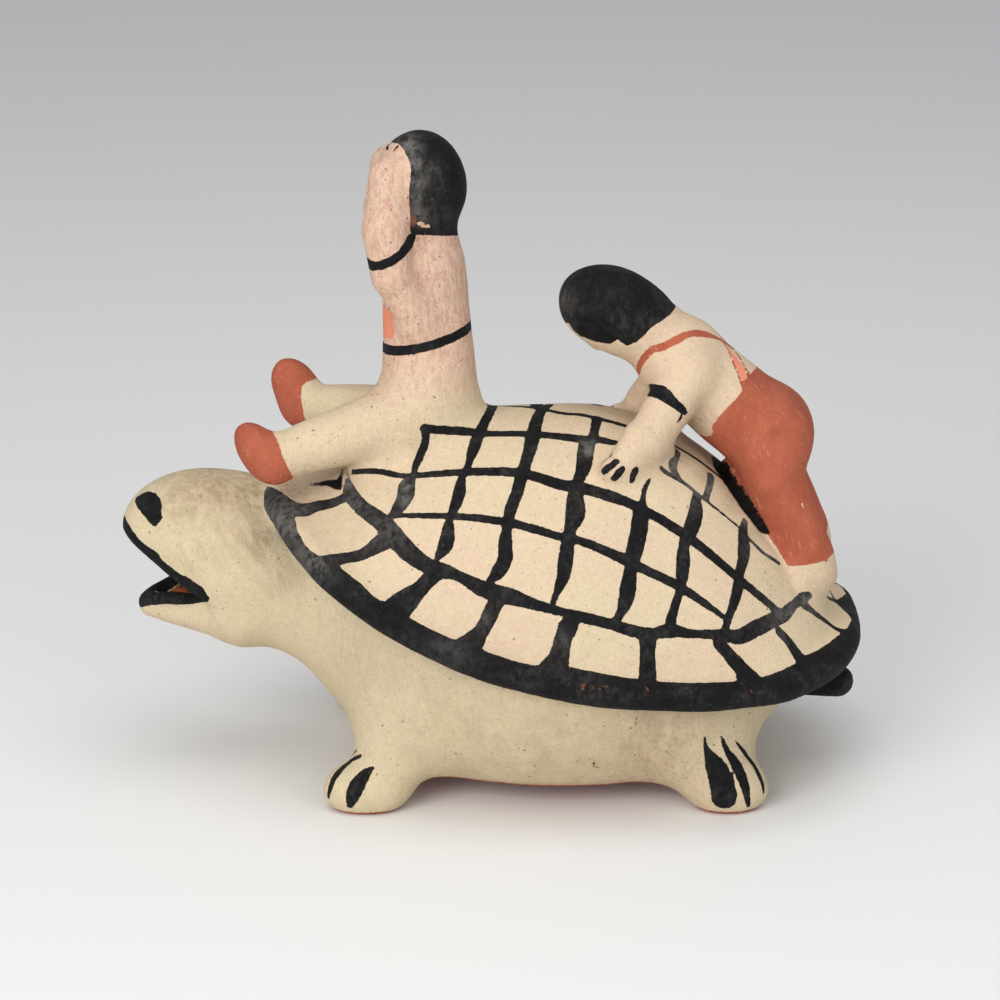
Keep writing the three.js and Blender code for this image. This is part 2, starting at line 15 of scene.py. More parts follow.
import bmesh
import bpy
import numpy as np
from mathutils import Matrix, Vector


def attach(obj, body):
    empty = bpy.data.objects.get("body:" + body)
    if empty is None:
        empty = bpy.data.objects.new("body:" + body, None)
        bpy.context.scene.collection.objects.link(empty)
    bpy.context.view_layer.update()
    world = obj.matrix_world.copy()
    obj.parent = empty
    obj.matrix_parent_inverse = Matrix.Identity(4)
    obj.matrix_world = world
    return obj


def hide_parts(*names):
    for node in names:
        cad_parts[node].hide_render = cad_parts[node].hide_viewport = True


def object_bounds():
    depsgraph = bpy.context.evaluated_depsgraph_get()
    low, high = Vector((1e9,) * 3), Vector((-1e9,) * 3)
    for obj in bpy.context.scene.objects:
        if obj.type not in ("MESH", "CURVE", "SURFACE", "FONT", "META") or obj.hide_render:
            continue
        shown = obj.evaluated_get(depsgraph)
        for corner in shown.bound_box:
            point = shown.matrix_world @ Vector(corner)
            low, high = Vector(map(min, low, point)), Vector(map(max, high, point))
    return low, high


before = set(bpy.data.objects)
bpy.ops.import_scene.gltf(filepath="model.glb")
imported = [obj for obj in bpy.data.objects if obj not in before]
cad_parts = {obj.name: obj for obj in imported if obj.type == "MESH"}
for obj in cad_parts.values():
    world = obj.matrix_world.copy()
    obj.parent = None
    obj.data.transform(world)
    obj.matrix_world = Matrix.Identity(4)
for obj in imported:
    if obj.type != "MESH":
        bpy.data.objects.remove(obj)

cad_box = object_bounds()
print("the solid's box in metres:", [[round(v, 4) for v in corner] for corner in cad_box])

# %% [markdown]
# ## Where the camera stands
#
# The photograph was taken from the turtle's left, a little above it, with a long lens. Marks on the clay
# are placed by where they show in that picture, so the same few numbers serve the camera and the brush: a
# pixel becomes a ray, and a point of the clay becomes a pixel.

# %% Camera numbers
PICTURE_SIDE = 1000
PICTURE_WIDTH_MM = 236.5
CAMERA_DISTANCE_MM = 1000.0
CAMERA_ELEVATION = math.radians(18)
SENSOR_MM = 36.0
MM = 0.001
# The potter's middle line, from which the clay forms are measured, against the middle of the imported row.
CLAY_SHIFT = np.array((0.16, 0.01, 0.0))
AIM = np.array((1.9, 0.01, 64.7))
RIGHT = np.array((1.0, 0.0, 0.0))
UP = np.array((0.0, math.sin(CAMERA_ELEVATION), math.cos(CAMERA_ELEVATION)))
BACK = np.array((0.0, -math.cos(CAMERA_ELEVATION), math.sin(CAMERA_ELEVATION)))
MM_PER_PIXEL = PICTURE_WIDTH_MM / PICTURE_SIDE


def to_pixels(points):
    """Where points of the clay, in millimetres, show in the picture."""
    rel = points - AIM
    zoom = CAMERA_DISTANCE_MM / (CAMERA_DISTANCE_MM - rel @ BACK)
    across = PICTURE_SIDE / 2 + rel @ RIGHT * zoom / MM_PER_PIXEL
    down = PICTURE_SIDE / 2 - rel @ UP * zoom / MM_PER_PIXEL
    return np.stack([across, down], 1)


def rays_through(pixels):
    """The camera's eye, and the direction of the ray through each pixel."""
    across = (pixels[:, 0] - PICTURE_SIDE / 2) * MM_PER_PIXEL
    up = (PICTURE_SIDE / 2 - pixels[:, 1]) * MM_PER_PIXEL
    way = RIGHT * across[:, None] + UP * up[:, None] - BACK * CAMERA_DISTANCE_MM
    return AIM + BACK * CAMERA_DISTANCE_MM, way / np.linalg.norm(way, axis=1)[:, None]


print("millimetres per pixel at the middle of the figure:", MM_PER_PIXEL)

# %% [markdown]
# ## The clay as a field
#
# A lump of clay can be described by how far any point is from its skin: negative inside, zero on the skin.
# Balls and tapering rolls have simple formulas, and two of them join with a thumbed fillet when the smaller
# number is taken with a little smoothing. The solid was made in this way, and the same forms are used here
# again to draw its coarse skin out finely, and to know which form of the figure each point belongs to.

# %% Balls, rolls, joins and cuts
def press_together(a, b, fillet):
    """Two forms joined, with a fillet about that wide."""
    h = np.maximum(fillet - np.abs(a - b), 0) / fillet
    return np.minimum(a, b) - h * h * fillet / 4


def cut_away(a, b, soft):
    """Form a kept where it is inside form b, with a softened edge."""
    return -press_together(-a, -b, soft)


def ball(p, centre, half, tilt=0.0):
    """A pressed ball with three half-widths; tilt leans it in the XZ plane, in degrees."""
    q = p - np.array(centre, float)
    c, s = math.cos(math.radians(tilt)), math.sin(math.radians(tilt))
    q = np.stack([q[:, 0] * c + q[:, 2] * s, q[:, 1], q[:, 2] * c - q[:, 0] * s], 1)
    r = np.array(half, float)
    k0 = np.linalg.norm(q / r, axis=1)
    k1 = np.linalg.norm(q / r**2, axis=1)
    return k0 * (k0 - 1) / np.maximum(k1, 1e-9)


def roll(p, a, b, ra, rb, wide=1.0, side=(0, 1, 0)):
    """A tapering roll from a to b; wide stretches its section along side."""
    a, b, side = np.array(a, float), np.array(b, float), np.array(side, float)
    side = side / np.linalg.norm(side)
    axis = b - a
    h = np.clip(((p - a) @ axis) / (axis @ axis), 0, 1)
    q = p - a - h[:, None] * axis
    q = q - (q @ side)[:, None] * side * (1 - 1 / wide)
    return np.linalg.norm(q, axis=1) - (ra + (rb - ra) * h)


# %% [markdown]
# ## The shell
#
# The shell is a long dome with a rounded lip that hangs low along the flank and rises in front like a
# collar behind the neck. In plan it is a rounded oblong. One number, 0 at the crown and 1 along the lip,
# carries the height of the dome, and the band painted along the lip is measured from the same number later
# on.

# %% Shell form
CROWN_X, CROWN_Z = 20.0, 87.3
SHELL_FRONT, SHELL_REAR, SHELL_HALF = 69.6, 64.4, 49.0
SHELL_SQUARENESS = 2.55
LIP_FRONT, LIP_SIDE, LIP_TAIL_RISE = 67.1, 32.3, 3.6
LIP_SWEEP, LIP_SWEEP_POWER = 120.6, 2.8
TAIL_RISE_START, TAIL_RISE_LENGTH = 66.0, 22.0
LIP_RADIUS = 3.2
LIP_FOOT = 0.965
STEEP_SIDE, STEEP_ENDS = 0.74, 1.0
UNDER_LIP, UNDER_SLOPE = 1.2, 14.0


def lip_height(x):
    """Height of the middle of the lip, which rises to the front and a little at the tail."""
    fore = np.clip((CROWN_X - SHELL_FRONT + LIP_SWEEP - x) / LIP_SWEEP, 0, 1)
    aft = np.clip((x - TAIL_RISE_START) / TAIL_RISE_LENGTH, 0, 1)
    return LIP_SIDE + (LIP_FRONT - LIP_SIDE) * fore**LIP_SWEEP_POWER + LIP_TAIL_RISE * aft**2


def shell_plan(x, y):
    """0 at the crown, 1 along the lip, and how fast it grows per millimetre."""
    dx = x - CROWN_X
    reach = np.where(dx < 0, SHELL_FRONT, SHELL_REAR)
    u, v = np.abs(dx) / reach + 1e-6, np.abs(y) / SHELL_HALF + 1e-6
    rho = (u**SHELL_SQUARENESS + v**SHELL_SQUARENESS) ** (1 / SHELL_SQUARENESS)
    along = (u / rho) ** (SHELL_SQUARENESS - 1) / reach
    sideways = (v / rho) ** (SHELL_SQUARENESS - 1) / SHELL_HALF
    return rho, np.hypot(along, sideways)


def shell_top(x, y):
    """Height of the dome, its slope, and the height of the lip beside it."""
    rho, growth = shell_plan(x, y)
    dx = x - CROWN_X
    endwise = dx**2 / (dx**2 + y**2 + 1e-9)
    steep = STEEP_SIDE + (STEEP_ENDS - STEEP_SIDE) * endwise
    lip = lip_height(CROWN_X + dx / rho)
    inner = np.clip(1 - (LIP_FOOT * rho) ** 2, 1e-4, 1)
    foot = (1 - LIP_FOOT**2) ** steep
    rise = (inner**steep - foot) / (1 - foot)
    fall = 2 * steep * LIP_FOOT**2 * rho * inner ** (steep - 1) / (1 - foot) * growth
    return lip + (CROWN_Z - lip) * rise, np.minimum((CROWN_Z - lip) * fall, 5), lip


def shell(p):
    """The dome with its rounded lip, hollowed underneath."""
    x, y, z = p.T
    rho, growth = shell_plan(x, y)
    out = (rho - 1) / growth
    top, slope, lip = shell_top(x, y)
    over = (z - top) / np.hypot(1, slope)
    under = lip - UNDER_LIP - UNDER_SLOPE * np.clip(1 - rho, 0, 1) - z
    lid = cut_away(cut_away(over, under, 2), out, 1.5)
    return press_together(lid, np.hypot(out, z - lip) - LIP_RADIUS, 4)


middle_line = np.array([(CROWN_X, 0, CROWN_Z)])
print("the crown lies", round(float(shell(middle_line)[0]), 2), "mm from the shell's skin")

# %% [markdown]
# ## The turtle
#
# Under the shell are a bowl-shaped belly, a thick neck, a small head, four stump feet cut flat underneath
# and a stub of a tail. The mouth was cut as a wedge, and two thin rolls edge the lower jaw.

# %% Turtle form
MOUTH_CORNER = (-64.5, 41.4)
MOUTH_ANGLE = math.radians(35)
LIP_ROLL = 1.65
JAW_EDGE = ((-64, 9.6, 42.6), (-75, 6.6, 42.8), (-80.1, 3.4, 40.7), (-81.9, 0, 39.7))


def jaw_edge(p):
    """The two rolls of clay along the lower jaw."""
    folded = p * (1, 0, 1) + np.abs(p) * (0, 1, 0)
    parts = [roll(folded, a, b, LIP_ROLL, LIP_ROLL) for a, b in zip(JAW_EDGE, JAW_EDGE[1:])]
    return np.minimum.reduce(parts)


def mouth_cut(p):
    """The space inside the jaws, negative inside."""
    qx, qz = p[:, 0] - MOUTH_CORNER[0], p[:, 2] - MOUTH_CORNER[1]
    below = qx * math.sin(MOUTH_ANGLE) + qz * math.cos(MOUTH_ANGLE)
    gape = cut_away(cut_away(below + 0.5, 3.2 - qz, 1.5), qx + 1, 2)
    hollow = roll(p, (-66, 0, 47), (-77, 0, 43.4), 5.2, 3.3, 1.25)
    return below, gape, hollow


def tail(p):
    """The stub of the tail, bent a little to the near side."""
    return roll(p, (58, 0, 22), (82.5, -3, 20.2), 5.2, 3.8)


def turtle(p):
    """Head, neck, belly, feet and tail without the shell."""
    neck = roll(p, (-30, 0, 42), (-58, 0, 48.3), 19, 17.9, 0.88)
    d = press_together(neck, ball(p, (-67.6, 0, 56.4), (20.15, 13.5, 15.2), -8), 12)
    belly = cut_away(ball(p, (16, 0, 33.5), (58, 47, 42)), 3.6 - p[:, 2], 5)
    d = press_together(d, belly, 12)
    below, gape, hollow = mouth_cut(p)
    d = cut_away(d, -cut_away(below, p[:, 0] - MOUTH_CORNER[0], 4), 1.6)
    jaw = roll(p, (-60, 0, 38.8), (-81, 0, 38.8), 9.6, 2.8, 1.5)
    d = press_together(d, press_together(jaw, jaw_edge(p), 1.6), 3)
    d = cut_away(cut_away(d, -gape, 1.6), -hollow, 1.6)
    for side in (-1, 1):
        fore = roll(p, (-20, side * 25, 22), (-25, side * 33, 8), 10, 7)
        fore = press_together(fore, ball(p, (-29.8, side * 33.5, 4.7), (9.5, 6.5, 6.6)), 4)
        hind = roll(p, (47, side * 24, 20), (53, side * 31.5, 8), 11, 8)
        hind = press_together(hind, ball(p, (55.5, side * 32.5, 4.7), (9, 7, 6.6)), 4)
        d = press_together(press_together(d, fore, 12), hind, 12)
    return press_together(cut_away(d, -p[:, 2], 0.7), tail(p), 5)


mouth_middle = np.array([(-74.0, 0, 45.0)])
print("open way from the middle of the mouth to clay:", round(float(turtle(mouth_middle)[0]), 1), "mm")

# %% [markdown]
# ## The two children
#
# Each child is a roll for the body, a ball for the head and thinner rolls for the limbs. The seated one
# sits upright in front of the crown, with its hands laid along its face. The climbing one leans over the
# slope behind it, with its hands spread on the shell and its feet braced near the tail.

# %% Seated and climbing child
def sitter(p):
    """The seated child, its legs along the shell and its hands at its face."""
    d = roll(p, (-14.5, 0, 92.04), (-15.8, 0, 122.04), 11.2, 9.7)
    d = press_together(d, ball(p, (-16.6, 0, 141.04), (10.8, 10.8, 13)), 7)
    d = press_together(d, ball(p, (-27.6, 0, 139.54), (1.8, 1.7, 2.6)), 1.5)
    near_leg = roll(p, (-18, -6, 88.04), (-50, -16.05, 80.14), 8.5, 5.4)
    near_shoe = ball(p, (-53.3, -17.05, 81.84), (4.9, 5.2, 8.3), 38)
    far_leg = roll(p, (-18, 5, 83.24), (-45, 17.45, 82.44), 8, 5.4)
    far_shoe = ball(p, (-46.6, 19.45, 86.04), (5.4, 4.8, 8.3), 29)
    d = press_together(d, press_together(near_leg, near_shoe, 3), 7)
    d = press_together(d, press_together(far_leg, far_shoe, 3), 7)
    for side in (-1, 1):
        upper = roll(p, (-17, side * 7.5, 111.04), (-22.4, side * 9.5, 121.54), 5, 4.8)
        fore = roll(p, (-23, side * 10, 122.54), (-24.5, side * 9.6, 133.04), 4.9, 5.2)
        hand = roll(p, (-24.5, side * 9.6, 133.04), (-23.6, side * 6.6, 144.54), 5.2, 4.6)
        d = press_together(d, press_together(press_together(upper, fore, 1.2), hand, 1.2), 2.6)
    return d


def climber(p):
    """The climbing child, from the head down to the feet behind the shell."""
    d = roll(p, (43.6, 0, 99.3), (65, 0, 81.2), 9.9, 10.8, 1.08)
    d = press_together(d, roll(p, (36, 0, 107), (44, 0, 100), 7.5, 9.5), 2.5)
    d = press_together(d, ball(p, (28.4, 0, 111.5), (13.4, 10.6, 9.9), -23), 5)
    d = press_together(d, ball(p, (24.5, 0, 103.6), (1.7, 1.5, 1.7), 10), 1.2)
    for side in (-1, 1):
        thigh = roll(p, (64.7, side * 5.5, 82.6), (65.6, side * 9, 73.5), 8.6, 6.9)
        shin = roll(p, (65.6, side * 9, 73.5), (73.1, side * 11.5, 56), 6.9, 6.6)
        foot = ball(p, (75.3, side * 11.5, 52), (6.4, 6.5, 4.6), -35)
        d = press_together(d, press_together(press_together(thigh, shin, 1.2), foot, 4), 5)
        ahead = 0.0 if side < 0 else 2.6
        on_shell = float(shell_top(np.array([30.2 + ahead]), np.array([side * 21.5]))[0][0])
        arm = roll(p, (46, side * 8, 98), (36.5, side * 15.5, on_shell + 7.1), 6.4, 5)
        wrist = (35.5 + ahead, side * 16.4, on_shell + 6.3)
        tip = (30.2 + ahead, side * 21.5, on_shell + 1.2)
        hand = roll(p, wrist, tip, 4.6, 3.3, 1.8, (-0.7, side * 0.6, 0.25))
        d = press_together(d, press_together(arm, hand, 1.5), 3)
    return d


FORMS = {"shell": shell, "turtle": turtle, "sitter": sitter, "climber": climber}
CLIMBER_JOIN_X, CLIMBER_FILLET = (50, 55, 67, 73), (3.4, 0.9, 0.9, 7.4)


def seat_fillet(p):
    """Width of the fillet under the seated child: thin at its shoes, wide at its seat."""
    return 1.2 + 8.8 * np.clip((p[:, 0] + 40) / 18, 0, 1)


def shell_with_seat(p):
    """The shell and the child that was pressed onto it first."""
    return press_together(shell(p), sitter(p), seat_fillet(p))


def figure(p):
    """The whole piece of clay. The climber's hands and feet are smoothed in, its shins lie on the shell."""
    d = press_together(shell(p), turtle(p), 2.5)
    d = press_together(d, sitter(p), seat_fillet(p))
    return press_together(d, climber(p), np.interp(p[:, 0], CLIMBER_JOIN_X, CLIMBER_FILLET))


print("forms of the clay:", list(FORMS))

# %% [markdown]
# ## Putting points on the skin
#
# A point near the skin is slid onto it along the slope of the field. The same step serves twice: it settles
# the vertices of the mesh, and it lays brush points on the clay after a ray through their pixel has found
# it.

# %% Slide points onto a form
SLOPE_STEP = 0.05
# A ray from the camera starts this far before the aim, and steps along by a share of the way still open.
CLEAR_OF_FIGURE_MM = 160
RAY_STEPS, RAY_SHARE, ON_SKIN_MM = 140, 0.6, 0.02


def value_and_slope(form, p):
    """The field and its slope, from a small step along each axis."""
    value = form(p)
    slope = [(form(p + SLOPE_STEP * np.eye(3)[k]) - value) / SLOPE_STEP for k in range(3)]
    return value, np.stack(slope, 1)


def slide_onto(form, p, passes=2, most=2.0):
    """Moves points onto the skin of a form, at most so many millimetres in each pass."""
    for _ in range(passes):
        value, slope = value_and_slope(form, p)
        move = np.clip(value / np.maximum((slope**2).sum(1), 0.25), -most, most)
        p = p - move[:, None] * slope
    return p


def lay_on(form, pixels):
    """Points of a form that show at these pixels; a pixel just past its outline takes the nearest point."""
    eye, way = rays_through(np.array(pixels, float))
    along = np.full(len(way), CAMERA_DISTANCE_MM - CLEAR_OF_FIGURE_MM)
    nearest, best = np.full(len(way), 1e9), along.copy()
    for _ in range(RAY_STEPS):
        gap = form(eye + way * along[:, None])
        closer = np.abs(gap) < nearest
        nearest[closer], best[closer] = np.abs(gap)[closer], along[closer]
        along = along + np.where(nearest > ON_SKIN_MM, RAY_SHARE * gap, 0)
    return slide_onto(form, eye + way * best[:, None], 3)


print("crown of the shell found at", lay_on(shell, [(500, 402)]).round(1))

# %% [markdown]
# ## A finer skin for the clay
#
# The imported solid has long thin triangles. A voxel remesh gives even quads of about a millimetre, fine
# enough for painted lines and soft hand-made lumps, and then every vertex slides onto the field. Two rounds
# of evening out between the slides keep the quads regular.

# %% Copy the solid and remesh it
VOXEL = 0.00109

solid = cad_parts["turtle_storyteller"]
rough = bpy.data.objects.new("rough_clay", solid.data.copy())
bpy.context.scene.collection.objects.link(rough)
bm = bmesh.new()
bm.from_mesh(rough.data)
bmesh.ops.remove_doubles(bm, verts=bm.verts, dist=1e-6)
bm.to_mesh(rough.data)
bm.free()
remesh = rough.modifiers.new("even_skin", "REMESH")
remesh.mode = "VOXEL"
remesh.voxel_size = VOXEL
remesh.adaptivity = 0.0
skin = bpy.data.meshes.new_from_object(rough.evaluated_get(bpy.context.evaluated_depsgraph_get()))
bpy.data.objects.remove(rough)
print("remeshed to", len(skin.vertices), "vertices")


# %% Read and move the vertices
def clay_points(mesh):
    """The vertices in millimetres, measured from the potter's middle line."""
    co = np.empty(len(mesh.vertices) * 3)
    mesh.vertices.foreach_get("co", co)
    return co.reshape(-1, 3) / MM + CLAY_SHIFT


def set_clay_points(mesh, p):
    """Puts points, in millimetres of the clay, back into the mesh."""
    mesh.vertices.foreach_set("co", ((p - CLAY_SHIFT) * MM).ravel())
    mesh.update()


def even_out(mesh, p, share=0.5):
    """Moves each point part of the way to the middle of its neighbours."""
    ends = np.empty(len(mesh.edges) * 2, int)
    mesh.edges.foreach_get("vertices", ends)
    a, b = ends.reshape(-1, 2).T
    total, count = np.zeros_like(p), np.zeros(len(p))
    for one, other in ((a, b), (b, a)):
        np.add.at(total, one, p[other])
        np.add.at(count, one, 1)
    return p + share * (total / count[:, None] - p)


p = slide_onto(figure, clay_points(skin), 1, 0.8)
for _ in range(2):
    p = slide_onto(figure, even_out(skin, p), 1, 0.5)
set_clay_points(skin, p)
print("settled; largest gap left to the field:", round(float(np.abs(figure(p)).max()), 3), "mm")

# %% [markdown]
# ## Brush lines
#
# The black lines were painted freehand with a soft brush: they swell, thin out and miss here and there.
# Each line is a handful of points read from the photograph, as pixel across, pixel down and width in
# millimetres. A smooth curve through them is laid on the clay. The unseen side carries the same pattern,
# mirrored and then shifted a little, as the same hand would have painted it again.

# %% Lay a line on the clay
LINE_SPACING = 1.3
THINNEST_STROKE = 0.3


def smooth_curve(knots):
    """A curve through all knots, with a point about every LINE_SPACING millimetres."""
    knots = np.asarray(knots, float)
    padded = np.vstack([2 * knots[0] - knots[1], knots, 2 * knots[-1] - knots[-2]])
    out = []
    for i in range(1, len(padded) - 2):
        a, b, c, d = padded[i - 1 : i + 3]
        count = max(1, int(np.ceil(np.linalg.norm((c - b)[:3]) / LINE_SPACING)))
        for t in np.arange(count)[:, None] / count:
            bend = (2 * a - 5 * b + 4 * c - d) * t**2 + (3 * b - a - 3 * c + d) * t**3
            out.append((2 * b + (c - a) * t + bend) / 2)
    return np.vstack(out + [knots[-1]])


def brush_line(form, read):
    """Centre points and widths, in millimetres, of a line read as (pixel across, pixel down, width)."""
    read = np.array(read, float)
    curve = smooth_curve(np.hstack([lay_on(form, read[:, :2]), read[:, 2:]]))
    return np.hstack([slide_onto(form, curve[:, :3], 2), np.maximum(curve[:, 3:], THINNEST_STROKE)])


# Past this many millimetres from its edge, a paint needs no exact distance.
UNPAINTED = 5.0
LINE_CHUNK = 6


def distance_to_line(points, line):
    """How far each point is from the painted edge of a line; negative inside it."""
    out = np.full(len(points), UNPAINTED)
    for start in range(0, len(line) - 1, LINE_CHUNK):
        part = line[start : start + LINE_CHUNK + 1]
        room = UNPAINTED + part[:, 3].max() / 2
        near = ((points > part[:, :3].min(0) - room) & (points < part[:, :3].max(0) + room)).all(1)
        near = np.nonzero(near)[0]
        if not len(near):
            continue
        q = points[near]
        best = out[near]
        for a, b in zip(part, part[1:]):
            axis = b[:3] - a[:3]
            h = np.clip(((q - a[:3]) @ axis) / max(axis @ axis, 1e-9), 0, 1)
            gap = np.linalg.norm(q - a[:3] - h[:, None] * axis, axis=1) - (a[3] + (b[3] - a[3]) * h) / 2
            best = np.minimum(best, gap)
        out[near] = best
    return out


def distance_to_area(pixels, corners):
    """Signed distance in millimetres to an area outlined in pixels; negative inside it."""
    corners = np.array(corners, float)
    out = np.full(len(pixels), 1e9)
    inside = np.zeros(len(pixels), bool)
    for a, b in zip(corners, np.roll(corners, -1, 0)):
        axis = b - a
        h = np.clip(((pixels - a) @ axis) / (axis @ axis), 0, 1)
        out = np.minimum(out, np.linalg.norm(pixels - a - h[:, None] * axis, axis=1))
        crosses = (a[1] > pixels[:, 1]) != (b[1] > pixels[:, 1])
        at = a[0] + (pixels[:, 1] - a[1]) / (axis[1] if axis[1] else 1e-9) * axis[0]
        inside ^= crosses & (pixels[:, 0] < at)
    return np.where(inside, -out, out) * MM_PER_PIXEL


# %% [markdown]
# ## The lines of the shell
#
# A net of lines runs over the dome: long rows from front to back and shorter ones down the flank. Below it
# a ring line goes right round, spokes lead from it to the lip, and the lip itself is painted as a broad
# band.

# %% Rows that run from front to back
# The row along the crest is seen too flat to be read in pixels: along, across and width in millimetres of
# the clay.
SPINE_ROW = [
    (-1, 9, 1.5), (7, 4.5, 1.6), (16, -2.5, 1.7), (21, -4, 1.6), (28, -6.5, 1.6), (40, -7.5, 1.5),
    (52, -7, 1.4), (60, -6, 1.2),
]
ROWS = {
    "upper": [
        (424, 428, 2.0), (470, 432, 2.2), (526, 433, 2.4), (560, 435.7, 2.6), (582.4, 438.8, 2.6),
        (596.7, 439.8, 2.4), (615, 443.9, 2.0), (640, 456, 1.6), (664, 471, 1.5), (682.4, 481.6, 1.3),
        (702.9, 498, 1.0), (725, 515, 0.8), (743.7, 530.6, 0.8), (749.8, 538.8, 1.0), (764, 553, 1.2),
        (778.4, 563.3, 1.2),
    ],
    "middle": [
        (353, 472, 1.3), (383, 472, 1.5), (407, 476, 1.6), (464, 472, 2.2), (518, 473, 2.6),
        (560, 484.7, 2.9), (580.4, 487.8, 2.9), (615, 498, 2.9), (639.6, 508, 2.4), (682.4, 532.7, 2.7),
        (735.5, 575.5, 2.4), (778.4, 612.2, 2.2),
    ],
    "lower": [
        (391, 516, 1.2), (444, 516, 1.6), (505, 522, 2.1), (560, 536.7, 2.0), (580.4, 540.8, 2.0),
        (623.3, 559.2, 2.6), (639.6, 567.3, 2.4), (674.3, 583.7, 2.3), (702.9, 602, 1.9),
        (725.3, 618.4, 1.1),
    ],
}
print("rows:", 1 + len(ROWS))

# %% Lines that run down the flank
DOWN_LINES = {
    "first": [
        (424, 430, 1.8), (425.7, 440, 2.0), (417.6, 462, 1.9), (412.4, 476.7, 1.6), (407, 485, 4.0),
        (405.3, 497, 4.0), (398, 509, 3.2), (391, 516.5, 1.2),
    ],
    "second": [
        (494, 404, 2.2), (483, 426, 2.4), (476.7, 440, 2.8), (472.6, 452, 2.6), (467.5, 466.5, 1.7),
        (461.4, 478.8, 2.0), (459.4, 493, 3.0), (455.3, 505.3, 2.6), (450.2, 517.5, 1.7),
        (448.2, 529.8, 3.0), (446.1, 544, 3.6), (440, 554.3, 2.2), (437, 559.4, 1.0),
    ],
    "third": [
        (549, 405, 2.4), (540, 412, 2.8), (531.8, 440, 3.4), (527.8, 456.3, 2.9), (521.6, 474.7, 2.9),
        (517.6, 491, 2.9), (511.4, 507.3, 2.9), (507.3, 525.7, 2.4), (505.3, 542, 3.1), (505.3, 558.4, 3.4),
        (499.2, 570.6, 3.4), (490, 580.8, 1.7),
    ],
    "fourth": [
        (596.7, 418.4, 2.6), (593.7, 434.7, 2.2), (586.5, 447, 3.9), (583.5, 467.3, 3.6),
        (577.3, 483.7, 2.4), (575.3, 498, 3.9), (575.3, 514.3, 4.6), (570.2, 530.6, 2.9),
        (566.1, 555.1, 3.4), (564, 573.5, 3.2), (558, 590, 2.2), (553, 602, 1.6),
    ],
    "fifth": [
        (655.9, 463.3, 0.4), (649.8, 477.6, 1.1), (644.7, 487.8, 1.4), (642.7, 502, 1.6),
        (640.6, 514.3, 3.8), (638.6, 532.7, 4.0), (634.5, 551, 4.0), (630.4, 569.4, 2.9),
        (628.4, 585.7, 3.8), (625.3, 602, 3.5), (621.2, 612.2, 2.3), (616, 621.4, 2.2),
    ],
    "sixth": [
        (696.7, 495.9, 2.4), (695.7, 514.3, 3.9), (690.6, 530.6, 3.6), (684.5, 542.9, 2.6),
        (683.5, 559.2, 3.4), (682.4, 573.5, 3.1), (681.4, 585.7, 2.1), (676.3, 602, 2.1),
        (672.2, 616.3, 2.4), (670.2, 626.5, 2.8),
    ],
    "sixth upper": [(711, 475.5, 2.1), (709, 487.8, 1.9), (706, 498, 1.9)],
    "short upper": [(676.3, 453, 2.1), (672.2, 465.3, 2.6), (677.3, 475.5, 1.4)],
    "seventh": [
        (745.7, 520.4, 1.7), (743.7, 532.7, 2.9), (744.7, 547, 3.6), (743.7, 559.2, 3.1),
        (739.6, 573.5, 2.4), (737.6, 589.8, 2.9), (733.5, 604, 2.4), (728.4, 618.4, 1.9),
        (725.3, 628.6, 1.9),
    ],
}
print("lines down the flank:", len(DOWN_LINES))

# %% The ring and its spokes
RING = [
    (347, 475, 0.7), (347.5, 482, 1.8), (349.5, 491, 3.2), (356, 502, 3.6), (366.5, 511.4, 3.9),
    (380.8, 521.6, 4.3), (389, 529.8, 4.3), (401.2, 544, 4.6), (413.5, 556.3, 4.3), (429.8, 566.5, 3.6),
    (444, 570.6, 3.6), (460.4, 576.7, 2.7), (478.8, 587, 3.6), (495, 593, 4.1), (511.4, 597, 3.9),
    (529.8, 603.3, 2.9), (558.4, 611.4, 2.4), (584.5, 618.4, 2.9), (611, 624.5, 2.7), (631.4, 630.6, 2.9),
    (651.8, 633.7, 2.4), (670.2, 630.6, 3.4), (692.7, 633.7, 2.0), (723.3, 634.7, 2.7),
    (739.6, 636.7, 3.6), (755.9, 628.6, 3.9), (774.3, 619.4, 3.6), (784.5, 614.3, 3.4), (794.7, 604, 2.4),
    (804.9, 595.9, 2.9), (811, 590.8, 2.0),
]
SPOKES = [
    [
        (342, 499.5, 3.2), (330, 504.0, 3.3), (316, 506.3, 3.9), (298, 509.2, 6.2), (285, 507, 7.6),
        (275, 502, 6.5), (263, 492, 3.0),
    ],
    [(382.9, 542, 4.8), (362.4, 554.3, 2.9), (342, 558.4, 3.4), (327.8, 562.4, 4.8)],
    [(435.9, 572.7, 3.9), (419.6, 589, 3.9), (403.3, 603.3, 6.3), (391, 615.5, 7.2)],
    [(497, 599.2, 3.9), (489, 617.6, 3.6), (480.8, 631.8, 3.6), (468.6, 646, 6.3)],
    [(573, 620, 3.6), (567.5, 628, 4.8), (563, 640, 4.2), (558, 660, 5.0), (552, 674, 8)],
    [(647.8, 636.7, 4.3), (647.8, 655, 3.6), (647.8, 675.5, 4.3)],
    [(719, 642.9, 3.0), (729.4, 655, 3.2), (743.7, 671.4, 4.3), (749.8, 681.6, 6.5)],
    [(779, 631, 2.2), (792, 646, 2.6), (803, 660, 3.8)],
    [(804, 605, 2.6), (817, 614.5, 1.6), (831, 624, 1.6), (845, 631.5, 2.5)],
    [(813, 590.5, 0.9), (825, 596, 1.2), (836.5, 601, 1.4), (848, 606.5, 2.5)],
]
